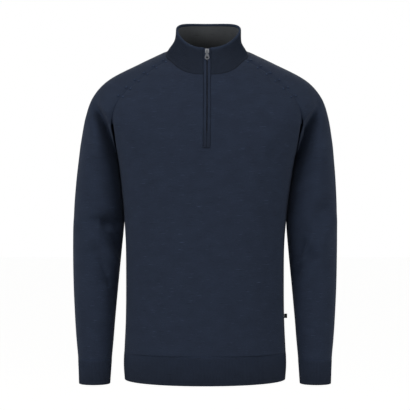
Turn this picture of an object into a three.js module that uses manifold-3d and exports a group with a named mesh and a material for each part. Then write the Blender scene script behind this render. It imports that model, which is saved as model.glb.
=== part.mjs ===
// A quarter zip sweater of fine knit, filled out and hollow as if it were worn, with the arms at the sides.
// Millimetres, +Z up. The front faces -Y, and the wearer's left is at +X. The origin lies between the
// shoulders, level with the place where the shoulder runs into the collar.

import * as THREE from "three";
import Module from "manifold-3d";
import { mergeVertices } from "three/addons/utils/BufferGeometryUtils.js";

// Knit and seams
const WALL = 2; // thickness of the plain knit
const RIB_WALL = 2.2; // thickness of the ribbed knit, in the furrows
const RIB_RISE = 0.8; // how far a rib stands out of its furrows
const RIB_PITCH = 5; // from one rib to the next
const SEAM_GAP = 0.5; // clearance between two pieces that are sewn together
const INNER_EDGE_BACK = 0.5; // how far the inside of a wall's edge lies behind its outside
const SLEEVE_HEAD_DEEP = 73.5; // how far the sleeve reaches to the front and back at the underarm

// Heights
const UNDERARM = -225;
const ZIP_FOOT_STEP = 0.12; // the line of the yoke table at which the slit for the zip ends
const HEM_TOP = -627;
const HEM_FOOT = -684;
const HEM_DIP = 2.4; // how much lower the hem hangs in the middle of the front
const CUFF_TOP = -640;
const CUFF_FOOT = -691;

// The collar and zip
const NECK_HALF = 82; // half the width of the neck seam
const RIM = { half: 67.5, deep: 66, middle: -4, aside: 3 }; // the collar's upper edge, from above
const LINING_INSET = 2.9; // from the face of the collar to the face of its lining
const LINING_WALL = 1.6;
const SLIT_HALF = 7.3; // half the width of the slit for the zip
const WELT = { near: 0.6, far: 7, proud: 1, deep: 1.9 };
const TAPE = { near: 1.2, far: 8.8, front: 2.4, back: 3.2 };

// The neck sits a little to the wearer's left of the hem.
const LEAN = { by: 4.2, from: -440, to: -100 };

// Tables

/** Rows of numbers as objects, under the column names given in one string. */
const rowsOf = (names, ...rows) =>
  rows.map((row) => Object.fromEntries(names.split(" ").map((name, i) => [name, row[i]])));

// The trunk below the arms: a section at each height, half its width, how far its front and back lie out,
// and how full its corners are, as the handle length of a quarter round divided by its radius.
const TRUNK = rowsOf(
  "z half front back full",
  [-684, 166.5, 117, 118, 0.58],
  [-655, 168.5, 119, 120, 0.58],
  [-627, 167.8, 120, 119, 0.58],
  [-560, 164.8, 121, 115, 0.59],
  [-480, 164, 121.5, 110, 0.6],
  [-400, 165, 122, 108, 0.61],
  [-345, 169, 123.2, 108.7, 0.63],
  [-312, 172.2, 124.1, 110.2, 0.655],
  [-262, 178.2, 125.7, 113.7, 0.71],
  [-225, 183, 126.5, 118, 0.78],
);

// The yoke above the underarm, a row for each line round it, from the underarm (0) to the neck seam (1).
// seam: where the line crosses the raglan seams in front and behind; top: where it crosses the shoulder;
// chest and nape: where it crosses the middle of the front and of the back.
const YOKE = rowsOf(
  "step seamX seamY seamZ backX backY backZ topX topY topZ chestY chestZ napeY napeZ",
  [0, 183, 0, -225, 183, 0, -225, 264.8, 0, -225, -126.5, -225, 118, -225],
  [0.12, 187, -38, -206, 187.5, 42, -204, 261, 0, -192, -127, -209, 120, -203],
  [0.3, 193, -75, -158, 194, 79, -154, 251.5, 1, -138, -125.5, -173, 122.5, -156],
  [0.45, 187, -80, -120, 185, 85, -112, 237, 3, -97.5, -122, -140, 121, -112],
  [0.6, 163, -69, -87, 161, 77, -78, 205, 5, -62.5, -116.5, -117, 113.5, -75],
  [0.8, 121, -54, -50, 116, 64, -35, 140, 8, -28, -106, -86, 95.5, -34],
  [1, 80, -41, -22, 72, 47, 3, 83.5, 6, -2, -95, -57.4, 73, 5],
);

// The sleeve below the underarm: where a section's inner and outer sides, front and back lie.
const SLEEVE = rowsOf(
  "z inner outer front back",
  [-691, 196, 260, -57, 16],
  [-640, 192.5, 262.3, -56, 22],
  [-600, 189, 266, -57, 29],
  [-560, 186, 269, -58, 37],
  [-487, 179.7, 272.8, -59, 50],
  [-412, 172.8, 274.6, -58, 62],
  [-362, 169.2, 274.3, -60, 66],
  [-345, 169.5, 273.6, -61.5, 67.2],
  [-312, 172.5, 272.3, -64, 69],
  [-262, 178.5, 268.6, -69, 71],
  [-225, 183, 264.8, -73, 74],
);

// The largest folds, as troughs and ridges (negative depth) along a line seen from the front. The sign of
// face tells whether a fold lies on the front (-1) or on the back (1).
const FOLDS = rowsOf(
  "piece face x0 z0 x1 z1 width depth",
  ["sleeve_left", -1, 236, -112, 196, -158, 13, 8],
  ["sleeve_left", -1, 238, -142, 219, -188, 13, -4],
  ["sleeve_left", -1, 239, -186, 203, -258, 20, 4],
  ["sleeve_left", -1, 244, -334, 208, -420, 17, 8],
  ["sleeve_left", -1, 258, -352, 228, -420, 20, -5],
  ["sleeve_left", -1, 214, -424, 184, -458, 15, 8],
  ["sleeve_left", 1, 262, -352, 206, -398, 17, 6],
  ["sleeve_left", 1, 252, -412, 200, -440, 18, 5],
  ["sleeve_right", -1, -229, -113, -196, -158, 13, 8],
  ["sleeve_right", -1, -238, -150, -218, -196, 13, -4],
  ["sleeve_right", -1, -222, -357, -168, -351, 15, 8],
  ["sleeve_right", -1, -198, -362, -188, -398, 16, 6],
  ["sleeve_right", -1, -226, -420, -204, -474, 17, 5],
  ["sleeve_right", -1, -256, -372, -226, -398, 20, -4],
  ["sleeve_right", 1, -262, -346, -206, -392, 17, 6],
  ["sleeve_right", 1, -250, -416, -198, -432, 18, 5],
  ["front", -1, 180, -176, 132, -236, 22, 3],
  ["front", -1, -180, -178, -128, -232, 22, 3],
  ["back", 1, 176, -172, 120, -226, 22, 4],
  ["back", 1, -176, -172, -120, -226, 22, 4],
  ["back", 1, 96, -392, -70, -404, 26, 4],
  ["back", 1, -118, -446, 34, -458, 26, 3],
);

// Lines and surfaces

const point = (x, y, z) => new THREE.Vector3(x, y, z);
const mix = THREE.MathUtils.lerp;
const smooth = (from, to, q) => THREE.MathUtils.smoothstep(q, from, to);

/** Numbers from one to another, both included, in equal steps. */
const steps = (from, to, count) => Array.from({ length: count + 1 }, (_, i) => mix(from, to, i / count));

/** A smooth curve through one column of a table, as a function of its first column. */
function track(table, key, column) {
  const at = table.map((row) => row[key]);
  const value = table.map((row) => row[column]);
  const last = at.length - 1;
  const slope = at.map((_, i) => {
    const [a, b] = [Math.max(i - 1, 0), Math.min(i + 1, last)];
    return (value[b] - value[a]) / (at[b] - at[a]);
  });
  return (q) => {
    let i = 0;
    while (i < last - 1 && q > at[i + 1]) i += 1;
    const span = at[i + 1] - at[i];
    const u = THREE.MathUtils.clamp((q - at[i]) / span, 0, 1);
    const [u2, u3] = [u * u, u * u * u];
    const ends = value[i] * (2 * u3 - 3 * u2 + 1) + value[i + 1] * (3 * u2 - 2 * u3);
    const tangents = slope[i] * (u3 - 2 * u2 + u) + slope[i + 1] * (u3 - u2);
    return ends + tangents * span;
  };
}

/** All columns of a table as tracks. */
const tracks = (table, key) =>
  Object.fromEntries(Object.keys(table[0]).map((column) => [column, track(table, key, column)]));

const trunk = tracks(TRUNK, "z");
const yoke = tracks(YOKE, "step");
const arm = tracks(SLEEVE, "z");

/** The point at s of a cubic curve that leaves p0 along d0 and reaches p1 along d1. */
function bend(p0, d0, p1, d1, s) {
  const a = p0.clone().add(d0);
  const b = p1.clone().sub(d1);
  return new THREE.CubicBezierCurve3(p0, a, b, p1).getPoint(s);
}

/** How open the fold at the raglan seam is: 0 under the arm, 1 where front and sleeve run on smoothly. */
const opening = (step) => smooth(0, 0.56, step);

/**
 * The raglan seam at a step of the yoke, on the side of the wearer's left. face is -1 in front and 1 behind.
 * apart points across the seam; fromBody and toSleeve are the directions in which the cloth reaches the
 * seam and leaves it.
 */
function raglan(step, face) {
  const seam =
    face < 0
      ? point(yoke.seamX(step), yoke.seamY(step), yoke.seamZ(step))
      : point(yoke.backX(step), yoke.backY(step), yoke.backZ(step));
  const top = point(yoke.topX(step), yoke.topY(step), yoke.topZ(step));
  const middle =
    face < 0 ? point(0, yoke.chestY(step), yoke.chestZ(step)) : point(0, yoke.napeY(step), yoke.napeZ(step));
  const outward = top.clone().sub(seam).normalize();
  const along = outward.add(seam.clone().sub(middle).normalize()).normalize();
  const open = opening(step);
  const level = Math.hypot(along.x, along.y);
  const turn = Math.atan2(-face * along.y, along.x);
  const heading = (angle) =>
    point(level * Math.cos(angle), -face * level * Math.sin(angle), along.z * open).normalize();
  const apart = along.clone().lerp(point(1, 0, 0), 1 - open).normalize();
  const fromBody = heading(mix(Math.PI / 2, turn, open));
  const toSleeve = heading(mix(-Math.PI / 2, turn, open));
  return { seam, top, middle, apart, fromBody, toSleeve };
}

/** Half a line round the trunk, from its middle (s = 0) to the side seam or raglan seam (s = 1). */
function halfTrunk(height, step, face, s, start) {
  if (step === null) {
    const deep = face < 0 ? -trunk.front(height) : trunk.back(height);
    const half = trunk.half(height);
    const full = trunk.full(height);
    const side = point(half, (face * SEAM_GAP) / 2, height);
    const reach = point(full * half, 0, 0);
    const back = point(0, -face * full * Math.abs(deep), 0);
    return bend(point(start, deep, height), reach, side, back, s);
  }
  const { seam, middle, apart, fromBody } = raglan(step, face);
  const from = middle.clone().setX(start);
  const full = mix(trunk.full(UNDERARM), 0.6, smooth(0, 0.5, step));
  const reach = (full * Math.abs(seam.y - middle.y)) / Math.max(Math.abs(fromBody.y), 0.3);
  const edge = seam.clone().addScaledVector(apart, -SEAM_GAP / 2);
  edge.y += ((1 - opening(step)) * face * SEAM_GAP) / 2;
  return bend(from, point(full * seam.x, 0, 0), edge, fromBody.multiplyScalar(reach), s);
}

/** One half of a line round the sleeve: face -1 runs from the inside over the front, 1 over the back. */
function halfSleeve(height, step, face, s) {
  if (step === null) {
    const inner = arm.inner(height) + SEAM_GAP / 2;
    const middle = (arm.front(height) + arm.back(height)) / 2;
    const deep = (arm.back(height) - arm.front(height)) / 2;
    const reach = point(0, (face * deep * 4) / 3, 0);
    const outer = point(arm.outer(height), middle, height);
    return bend(point(inner, middle, height), reach, outer, reach.clone().negate(), s);
  }
  const { seam, top, apart, toSleeve } = raglan(step, face);
  const edge = seam.clone().addScaledVector(apart, SEAM_GAP / 2);
  const smoothReach = 0.38 * edge.distanceTo(top);
  const ahead = Math.max(SLEEVE_HEAD_DEEP - Math.abs(seam.y), 0);
  const leave = mix((ahead * 4) / 3, smoothReach, opening(step));
  const arrive = mix((SLEEVE_HEAD_DEEP * 4) / 3, smoothReach, opening(step));
  const rise = (yoke.backZ(step) - yoke.seamZ(step)) / Math.max(yoke.backY(step) - yoke.seamY(step), 1);
  const over = point(0, -face, -face * rise).normalize();
  return bend(edge, toSleeve.multiplyScalar(leave), top, over.multiplyScalar(arrive), s);
}

/** The push of the folds on one piece at a point whose normal is known. */
function foldPush(piece, p, normal) {
  let push = 0;
  for (const fold of FOLDS) {
    if (fold.piece !== piece) continue;
    const [dx, dz] = [fold.x1 - fold.x0, fold.z1 - fold.z0];
    const along = ((p.x - fold.x0) * dx + (p.z - fold.z0) * dz) / (dx * dx + dz * dz);
    const held = THREE.MathUtils.clamp(along, 0, 1);
    const off = Math.hypot(p.x - fold.x0 - held * dx, p.z - fold.z0 - held * dz) / fold.width;
    const facing = smooth(0, 0.5, fold.face * normal.y);
    push -= fold.depth * Math.exp(-off * off) * facing;
  }
  return push;
}

/** Moves a point sideways by the lean of the whole garment at its height. */
function lean(p) {
  p.x += LEAN.by * smooth(LEAN.from, LEAN.to, p.z);
  return p;
}

// Solids

/** A closed mesh from points and triangles, turned right side out. */
function solid(points, triangles) {
  const volume = triangles.reduce((sum, [a, b, c]) => {
    const cross = points[b].clone().cross(points[c]);
    return sum + points[a].dot(cross);
  }, 0);
  const ordered = volume < 0 ? triangles.map(([a, b, c]) => [a, c, b]) : triangles;
  const geometry = new THREE.BufferGeometry();
  geometry.setAttribute("position", new THREE.Float32BufferAttribute(points.flatMap((p) => p.toArray()), 3));
  geometry.setIndex(ordered.flat());
  return geometry;
}

/**
 * A wall from a grid of outer points, grid[row][column], rows going up and columns running so that the
 * outside is on the right of up. joined(row) tells whether the row's ends are one point, and kept(row,
 * column) whether the field above and right of a grid point is cloth. push(point, normal) is how far the
 * folds move the cloth out.
 */
function wallOf(grid, thickness, { joined = () => false, kept = () => true, push = () => 0 } = {}) {
  const columns = grid[0].length;
  const id = (i, j) => i * columns + (joined(i) && j === columns - 1 ? 0 : j);
  const fields = [];
  for (let i = 0; i + 1 < grid.length; i += 1) {
    for (let j = 0; j + 1 < columns; j += 1) {
      if (kept(i, j)) fields.push([id(i, j), id(i, j + 1), id(i + 1, j + 1), id(i + 1, j)]);
    }
  }
  const outer = grid.flat();
  const centre = (field) =>
    field.reduce((sum, k) => sum.add(outer[k]), point(0, 0, 0)).multiplyScalar(1 / field.length);
  const normals = () => {
    const sums = outer.map(() => point(0, 0, 0));
    for (const field of fields) {
      const [a, b, c, d] = field.map((k) => outer[k]);
      const normal = c.clone().sub(a).cross(d.clone().sub(b));
      for (const k of field) sums[k].add(normal);
    }
    return sums.map((sum) => sum.normalize());
  };
  const plain = normals();
  outer.forEach((p, k) => p.addScaledVector(plain[k], push(p, plain[k])));
  const folded = normals();

  const uses = new Map();
  for (const field of fields) {
    field.forEach((a, n) => {
      const b = field[(n + 1) % 4];
      const key = `${Math.min(a, b)} ${Math.max(a, b)}`;
      uses.set(key, [...(uses.get(key) ?? []), { a, b, inside: centre(field) }]);
    });
  }
  const rim = [...uses.values()].filter((list) => list.length === 1).map((list) => list[0]);
  const inward = new Map();
  for (const { a, b, inside } of rim) {
    for (const k of [a, b]) {
      const toward = inside.clone().sub(outer[k]);
      toward.addScaledVector(folded[k], -toward.dot(folded[k]));
      inward.set(k, (inward.get(k) ?? point(0, 0, 0)).add(toward));
    }
  }
  const inner = outer.map((p, k) => {
    const q = p.clone().addScaledVector(folded[k], -thickness);
    if (inward.has(k)) q.addScaledVector(inward.get(k).normalize(), INNER_EDGE_BACK);
    return q;
  });
  const shift = outer.length;
  const triangles = fields.flatMap(([a, b, c, d]) => [
    [a, b, c],
    [a, c, d],
    [shift + a, shift + c, shift + b],
    [shift + a, shift + d, shift + c],
  ]);
  for (const { a, b } of rim) triangles.push([b, a, shift + a], [b, shift + a, shift + b]);
  return solid([...outer, ...inner], triangles);
}

/** Triangles between two lines of points that run side by side, with any number of points each. */
function lacing(first, firstCount, second, secondCount) {
  const triangles = [];
  let [i, j] = [0, 0];
  while (i < firstCount - 1 || j < secondCount - 1) {
    const nextFirst = (i + 1) / (firstCount - 1);
    const nextSecond = (j + 1) / (secondCount - 1);
    if (nextFirst <= nextSecond) {
      triangles.push([first(i), first(i + 1), second(j)]);
      i += 1;
    } else {
      triangles.push([first(i), second(j + 1), second(j)]);
      j += 1;
    }
  }
  return triangles;
}

/**
 * A ribbed wall. face(s, v) is a point of its outside in the furrows, with s round the piece and v up it,
 * and outward(s, v) the normal there. The ribs stand out of the outer points, and the inside is plain,
 * with fewer columns.
 */
function ribbed(face, outward, { ribs, levels, plain, closed, rise, depth }) {
  const points = [];
  const line = (count, v, away) => {
    const start = points.length;
    for (let n = 0; n <= count; n += 1) {
      const s = n / count;
      points.push(face(s, v).addScaledVector(outward(s, v), away(n)));
    }
    const wrap = (n) => start + (closed && n === count ? 0 : n);
    return { at: wrap, count: count + 1 };
  };
  const outside = levels.map((v) => line(2 * ribs, v, (n) => (n % 2) * rise));
  const inside = levels.map((v) => line(plain, v, () => -depth));
  const loop = [...outside, ...inside.reverse()];
  const triangles = loop.flatMap((here, n) => {
    const next = loop[(n + 1) % loop.length];
    return lacing(here.at, here.count, next.at, next.count);
  });
  if (!closed) {
    const half = levels.length;
    for (const end of [0, 1]) {
      const edge = loop.map(({ at, count }) => at(end * (count - 1)));
      for (let n = 0; n + 1 < half; n += 1) {
        const [a, b, c, d] = [edge[n], edge[n + 1], edge[2 * half - 2 - n], edge[2 * half - 1 - n]];
        const sides = [[a, b, c], [a, c, d]];
        triangles.push(...(end ? sides.map(([p, q, r]) => [p, r, q]) : sides));
      }
    }
  }
  return solid(points, triangles);
}

/** The unit normal of a surface face(s, v), pointing away from an upright axis through middle. */
function normalOf(face, middle) {
  const near = 1e-3;
  return (s, v) => {
    const across = face(Math.min(s + near, 1), v).sub(face(Math.max(s - near, 0), v));
    const up = face(s, Math.min(v + near, 1)).sub(face(s, Math.max(v - near, 0)));
    const normal = across.cross(up).normalize();
    const away = face(s, v).sub(middle).setZ(0);
    return normal.dot(away) < 0 ? normal.negate() : normal;
  };
}

const root = new THREE.Group();

/** Adds a named piece with its colour. */
function piece(name, geometry, { color, roughness, metalness = 0 }, group = root) {
  const material = new THREE.MeshStandardMaterial({ color, roughness, metalness });
  const mesh = new THREE.Mesh(geometry, material);
  mesh.name = name;
  group.add(mesh);
  return mesh;
}

const KNIT = { color: "#2a3140", roughness: 0.95 };
const RIB = { color: "#212733", roughness: 0.95 };
const FACING = { color: "#34363a", roughness: 0.95 };
const TAPE_CLOTH = { color: "#14171d", roughness: 0.9 };
const METAL = { color: "#9ea2a8", roughness: 0.3, metalness: 1 };

// Front and back

const trunkRows = [
  ...steps(HEM_TOP + SEAM_GAP, UNDERARM - 25, 10).map((height) => ({ height, step: null })),
  ...[0, ZIP_FOOT_STEP / 2, ...steps(ZIP_FOOT_STEP, 1, 11)].map((step) => ({ height: null, step })),
];
const ACROSS = 9; // columns from the middle to the side

/** The grid of the front or back, from the wearer's right to the left in front and back again behind. */
function bodyGrid(face, start) {
  const share = steps(0, 1, ACROSS);
  return trunkRows.map(({ height, step }) => {
    const left = share.map((s) => halfTrunk(height, step, face, s, start));
    const right = left.map((p) => p.clone().setX(-p.x)).reverse();
    const all = start > 0 ? [...right, ...left] : [...right.slice(0, -1), ...left];
    return (face < 0 ? all : all.reverse()).map(lean);
  });
}

const firstOpenRow = trunkRows.findIndex(({ step }) => step === ZIP_FOOT_STEP);
piece(
  "front",
  wallOf(bodyGrid(-1, SLIT_HALF), WALL, {
    kept: (i, j) => j !== ACROSS || i < firstOpenRow,
    push: (p, normal) => foldPush("front", p, normal),
  }),
  KNIT,
);
piece("back", wallOf(bodyGrid(1, 0), WALL, { push: (p, normal) => foldPush("back", p, normal) }), KNIT);

// Sleeves

const sleeveRows = [
  ...steps(CUFF_TOP + SEAM_GAP, -470, 5).map((height) => ({ height, step: null })),
  ...steps(-452, -326, 7).map((height) => ({ height, step: null })),
  ...steps(-300, UNDERARM, 2).map((height) => ({ height, step: null })),
  ...steps(1 / 13, 1, 12).map((step) => ({ height: null, step })),
];
const HALF_ROUND = 8; // columns over the front of a sleeve, and over its back

function sleeve(name, side) {
  const share = steps(0, 1, HALF_ROUND);
  const grid = sleeveRows.map(({ height, step }) => {
    const front = share.map((s) => halfSleeve(height, step, -1, s));
    const back = share.map((s) => halfSleeve(height, step, 1, s)).reverse();
    const round = [...front, ...back.slice(1)];
    if (side < 0) round.reverse().forEach((p) => p.setX(-p.x));
    return round.map(lean);
  });
  const underarmRow = sleeveRows.findIndex(({ height }) => height === UNDERARM);
  const push = (p, normal) => foldPush(name, p, normal);
  piece(name, wallOf(grid, WALL, { joined: (i) => i <= underarmRow, push }), KNIT);
}
sleeve("sleeve_left", 1);
sleeve("sleeve_right", -1);

// Hem band and cuffs

/** A point of the trunk's ring at a height, s going once round from the middle of the back. */
function trunkRing(height, s) {
  const quarter = s * 4;
  const face = quarter < 1 || quarter > 3 ? 1 : -1;
  const fromMiddle = quarter < 2 ? (face > 0 ? quarter : 2 - quarter) : face > 0 ? 4 - quarter : quarter - 2;
  const p = halfTrunk(height, null, face, fromMiddle, 0);
  p.y -= ((face * SEAM_GAP) / 2) * fromMiddle;
  return quarter < 2 ? p : p.setX(-p.x);
}

/** The face of the hem band, which hangs a little lower in front. s = 0.5 is the middle of the front. */
function hemFace(s, v) {
  const foot = HEM_FOOT - HEM_DIP * Math.max(-Math.cos(2 * Math.PI * s), 0);
  return lean(trunkRing(mix(foot, HEM_TOP - SEAM_GAP, v), s));
}
piece(
  "hem_band",
  ribbed(hemFace, normalOf(hemFace, point(0, 0, 0)), {
    ribs: Math.round(955 / RIB_PITCH),
    levels: [0, 1],
    plain: 64,
    closed: true,
    rise: RIB_RISE,
    depth: RIB_WALL,
  }),
  RIB,
);

function cuff(name, side) {
  const face = (s, v) => {
    const height = mix(CUFF_FOOT, CUFF_TOP - SEAM_GAP, v);
    const p = halfSleeve(height, null, s < 0.5 ? -1 : 1, s < 0.5 ? 2 * s : 2 - 2 * s);
    return lean(p.setX(side * p.x));
  };
  const middle = lean(point(side * 228, -18, CUFF_FOOT));
  const shape = { ribs: Math.round(222 / RIB_PITCH), levels: [0, 1], plain: 26, closed: true };
  const wall = { rise: RIB_RISE, depth: RIB_WALL };
  piece(name, ribbed(face, normalOf(face, middle), { ...shape, ...wall }), RIB);
}
cuff("cuff_left", 1);
cuff("cuff_right", -1);

// Collar

// The neck seam, sampled from the yoke's last line and shared out evenly by length, from one edge of the
// slit round the back to the other.
function neckSeam() {
  const share = steps(0, 1, 40);
  const front = share.map((s) => halfTrunk(null, 1, -1, s, SLIT_HALF));
  const overFront = share.map((s) => halfSleeve(null, 1, -1, s));
  const overBack = share.map((s) => halfSleeve(null, 1, 1, 1 - s));
  const back = share.map((s) => halfTrunk(null, 1, 1, 1 - s, 0));
  const left = [...front, ...overFront, ...overBack.slice(1), ...back];
  const right = left.slice(0, -1).map((p) => p.clone().setX(-p.x));
  return new THREE.CatmullRomCurve3([...left, ...right.reverse()], false, "centripetal");
}
const seamCurve = neckSeam();
seamCurve.arcLengthDivisions = 800;

/** A point of the collar's face, s round from the slit at the wearer's left to the right, v up. */
function collarFace(s, v) {
  const base = seamCurve.getPointAt(s);
  const slit = SLIT_HALF * smooth(0, 90, -base.y);
  const turn = Math.atan2((Math.abs(base.x) - slit) / (NECK_HALF - slit), -(base.y + 5) / 84);
  const front = Math.cos(turn);
  const rim = point(slit + (RIM.half - slit) * Math.sin(turn), RIM.middle - RIM.deep * front, 0);
  rim.x = rim.x * Math.sign(base.x) + RIM.aside * Math.sin(turn) ** 2;
  rim.z = 42 - 31.5 * front - 13.5 * front * front;
  const tall = rim.distanceTo(base);
  const inward = point(rim.x - base.x, rim.y - base.y, 0).normalize();
  const flare = mix(0.42, 0.85, Math.sin(turn) ** 2);
  const leave = inward.multiplyScalar(flare).add(point(0, 0, 0.8)).normalize();
  const start = base.addScaledVector(leave, SEAM_GAP);
  const arrive = point(0, 0.22 * front, 1).normalize();
  return lean(bend(start, leave.multiplyScalar(0.45 * tall), rim, arrive.multiplyScalar(0.36 * tall), v));
}

const collarNormal = normalOf(collarFace, point(0, -5, 0));
const collarLength = seamCurve.getLength();
piece(
  "collar",
  ribbed(collarFace, collarNormal, {
    ribs: Math.round(collarLength / RIB_PITCH),
    levels: [0, 0.3, 0.65, 1],
    plain: 44,
    closed: false,
    rise: RIB_RISE,
    depth: WALL,
  }),
  RIB,
);

/** The inside of the collar, a plain wall of its own that starts clear of the zip tapes. */
function liningFace(s, v) {
  const clear = (1.5 * (TAPE.far - SLIT_HALF) + 2 * SEAM_GAP) / collarLength;
  const q = mix(clear, 1 - clear, s);
  return collarFace(q, mix(0.02, 0.985, v)).addScaledVector(collarNormal(q, v), -LINING_INSET);
}
piece(
  "collar_lining",
  ribbed(liningFace, (s, v) => collarNormal(s, v), {
    ribs: 22,
    levels: [0, 0.3, 0.65, 1],
    plain: 44,
    closed: false,
    rise: 0,
    depth: LINING_WALL,
  }),
  FACING,
);

// Zip

/** The middle line of the front, as points with their outward normals, from the foot of the zip up. */
function zipLine() {
  const chest = steps(ZIP_FOOT_STEP, 1, 9).map((step) => point(0, yoke.chestY(step), yoke.chestZ(step)));
  const stand = steps(0.12, 1, 6).map((v) => collarFace(0, v).setX(0));
  const path = new THREE.CatmullRomCurve3([...chest, ...stand], false, "centripetal");
  return (q) => {
    const at = path.getPointAt(q);
    const tangent = path.getTangentAt(q);
    const up = point(0, tangent.y, tangent.z).normalize();
    return { at, up, out: point(0, -up.z, up.y), length: path.getLength() };
  };
}
const zip = zipLine();
const zipLength = zip(0).length;

/** A strip along the zip: its section is a list of corners, across from the zip and outward. */
function strip(section, side, from, to, count) {
  const points = steps(from / zipLength, to / zipLength, count).flatMap((q) => {
    const { at, out } = zip(q);
    return section.map(([across, outward]) => {
      const p = at.clone().addScaledVector(out, outward);
      p.x = side * across;
      return lean(p);
    });
  });
  const n = section.length;
  const triangles = [];
  for (let i = 0; i < count; i += 1) {
    for (let k = 0; k < n; k += 1) {
      const [a, b] = [i * n + k, i * n + ((k + 1) % n)];
      triangles.push([a, b, b + n], [a, b + n, a + n]);
    }
  }
  for (let k = 1; k + 1 < n; k += 1) {
    triangles.push([0, k + 1, k], [count * n, count * n + k, count * n + k + 1]);
  }
  return solid(points, triangles);
}

const bevel = 0.7;
const weltSection = [
  [WELT.near, -WELT.deep],
  [WELT.far, -WELT.deep],
  [WELT.far, WELT.proud - bevel],
  [WELT.far - bevel, WELT.proud],
  [WELT.near + bevel, WELT.proud],
  [WELT.near, WELT.proud - bevel],
];
const tapeSection = [
  [TAPE.near, -TAPE.back],
  [TAPE.far, -TAPE.back],
  [TAPE.far, -TAPE.front],
  [TAPE.near, -TAPE.front],
];
for (const [name, side] of [["left", 1], ["right", -1]]) {
  piece(`zip_welt_${name}`, strip(weltSection, side, 0.3, zipLength, 22), RIB);
  piece(`zip_tape_${name}`, strip(tapeSection, side, 1, zipLength - 1.5, 20), TAPE_CLOTH);
}

// Slider and pull, in a group of their own: Z runs up the zip and -Y stands out of it

const wasm = await Module();
wasm.setup();

/** A closed geometry as a solid that can be joined. */
function manifoldOf(geometry) {
  const bare = geometry.index ? geometry.toNonIndexed() : geometry.clone();
  bare.deleteAttribute("normal");
  bare.deleteAttribute("uv");
  const merged = mergeVertices(bare, 1e-4);
  const vertProperties = new Float32Array(merged.attributes.position.array);
  const triVerts = new Uint32Array(merged.index.array);
  return new wasm.Manifold(new wasm.Mesh({ numProp: 3, vertProperties, triVerts }));
}

/** The geometry of a joined solid. */
function geometryOf(joined) {
  const mesh = joined.getMesh();
  const geometry = new THREE.BufferGeometry();
  geometry.setAttribute("position", new THREE.Float32BufferAttribute(mesh.vertProperties, 3));
  geometry.setIndex(Array.from(mesh.triVerts));
  return geometry;
}

/** A flat plate of an outline in X and Z, with its thickness from y0 to y1. */
function plate(shape, y0, y1, round = 0) {
  const depth = y1 - y0 - 2 * round;
  const bevelled = { bevelEnabled: round > 0, bevelThickness: round, bevelSize: round, bevelSegments: 2 };
  const geometry = new THREE.ExtrudeGeometry(shape, { depth, curveSegments: 6, ...bevelled });
  return geometry.translate(0, 0, round).rotateX(Math.PI / 2).translate(0, y1, 0);
}

/** A rectangle with its corners cut by arcs. */
function rounded(width, low, high, radius) {
  const [w, r] = [width / 2, radius];
  const shape = new THREE.Shape();
  shape.moveTo(-w + r, low);
  shape.lineTo(w - r, low);
  shape.absarc(w - r, low + r, r, -Math.PI / 2, 0);
  shape.lineTo(w, high - r);
  shape.absarc(w - r, high - r, r, 0, Math.PI / 2);
  shape.lineTo(-w + r, high);
  shape.absarc(-w + r, high - r, r, Math.PI / 2, Math.PI);
  shape.lineTo(-w, low + r);
  shape.absarc(-w + r, low + r, r, Math.PI, Math.PI * 1.5);
  return shape;
}

const SLIDER = { fromTop: 6.5, width: 8, tall: 9, plate: 1.5, web: 0.5 };
const BRIDGE = { width: 1.2, tall: 5.6, stands: 3.2, bar: 1 };
const PULL = { thick: 1, neck: 4.2, radius: 5, hole: 2.1, reach: 15, rest: 0 };
const plateBack = -WELT.proud - 0.35;
const plateFront = plateBack - SLIDER.plate;
const rearFront = TAPE.back + 0.35;

const seat = zip((zipLength - SLIDER.fromTop) / zipLength);
const slider = new THREE.Group();
slider.position.copy(lean(seat.at.clone()));
slider.rotation.x = -Math.atan2(seat.up.y, seat.up.z);
root.add(slider);

function sliderBody() {
  const half = SLIDER.tall / 2;
  const face = plate(rounded(SLIDER.width, -half, half, 1.6), plateFront, plateBack);
  const web = new THREE.BoxGeometry(SLIDER.web, rearFront - plateBack + 0.6, SLIDER.tall - 3);
  web.translate(0, (rearFront + plateBack) / 2, 0);
  const rear = plate(rounded(SLIDER.width - 1, -half, half, 1.6), rearFront, rearFront + 1.3);
  const outer = new THREE.BoxGeometry(BRIDGE.width, BRIDGE.stands + 0.3, BRIDGE.tall);
  outer.translate(0, plateFront - BRIDGE.stands / 2 + 0.15, 0);
  const gap = new THREE.BoxGeometry(2 * BRIDGE.width, BRIDGE.stands - BRIDGE.bar, BRIDGE.tall - 2 * BRIDGE.bar);
  gap.translate(0, plateFront - (BRIDGE.stands - BRIDGE.bar) / 2, 0);
  const bridge = manifoldOf(outer).subtract(manifoldOf(gap));
  return geometryOf(manifoldOf(face).add(manifoldOf(web)).add(manifoldOf(rear)).add(bridge));
}
piece("zip_slider", sliderBody(), METAL, slider);

/** The drop-shaped pull, hanging from the origin, with its bar across the origin. */
function pullPlate() {
  const { neck, radius, reach } = PULL;
  const tangent = Math.acos((radius - neck / 2) / Math.hypot(reach, 0)) * 0.5;
  const shape = new THREE.Shape();
  const top = PULL.thick / 2;
  shape.moveTo(-neck / 2, top);
  shape.lineTo(-neck / 2, -4.6);
  shape.absarc(0, -reach, radius, Math.PI - tangent * 0.6, 2 * Math.PI + tangent * 0.6, false);
  shape.lineTo(neck / 2, -4.6);
  shape.lineTo(neck / 2, top);
  const eye = new THREE.Path();
  eye.moveTo(-1.1, -top);
  eye.lineTo(1.1, -top);
  eye.lineTo(1.1, -4.1);
  eye.lineTo(-1.1, -4.1);
  const hole = new THREE.Path();
  hole.absarc(0, -reach, PULL.hole, 0, Math.PI * 2, true);
  shape.holes.push(eye, hole);
  return plate(shape, -PULL.thick / 2, PULL.thick / 2);
}
const pull = piece("zip_pull", pullPlate(), METAL, slider);
pull.position.set(0, plateFront - (BRIDGE.stands - BRIDGE.bar) / 2, 0);
pull.rotation.x = THREE.MathUtils.degToRad(PULL.rest);

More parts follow.
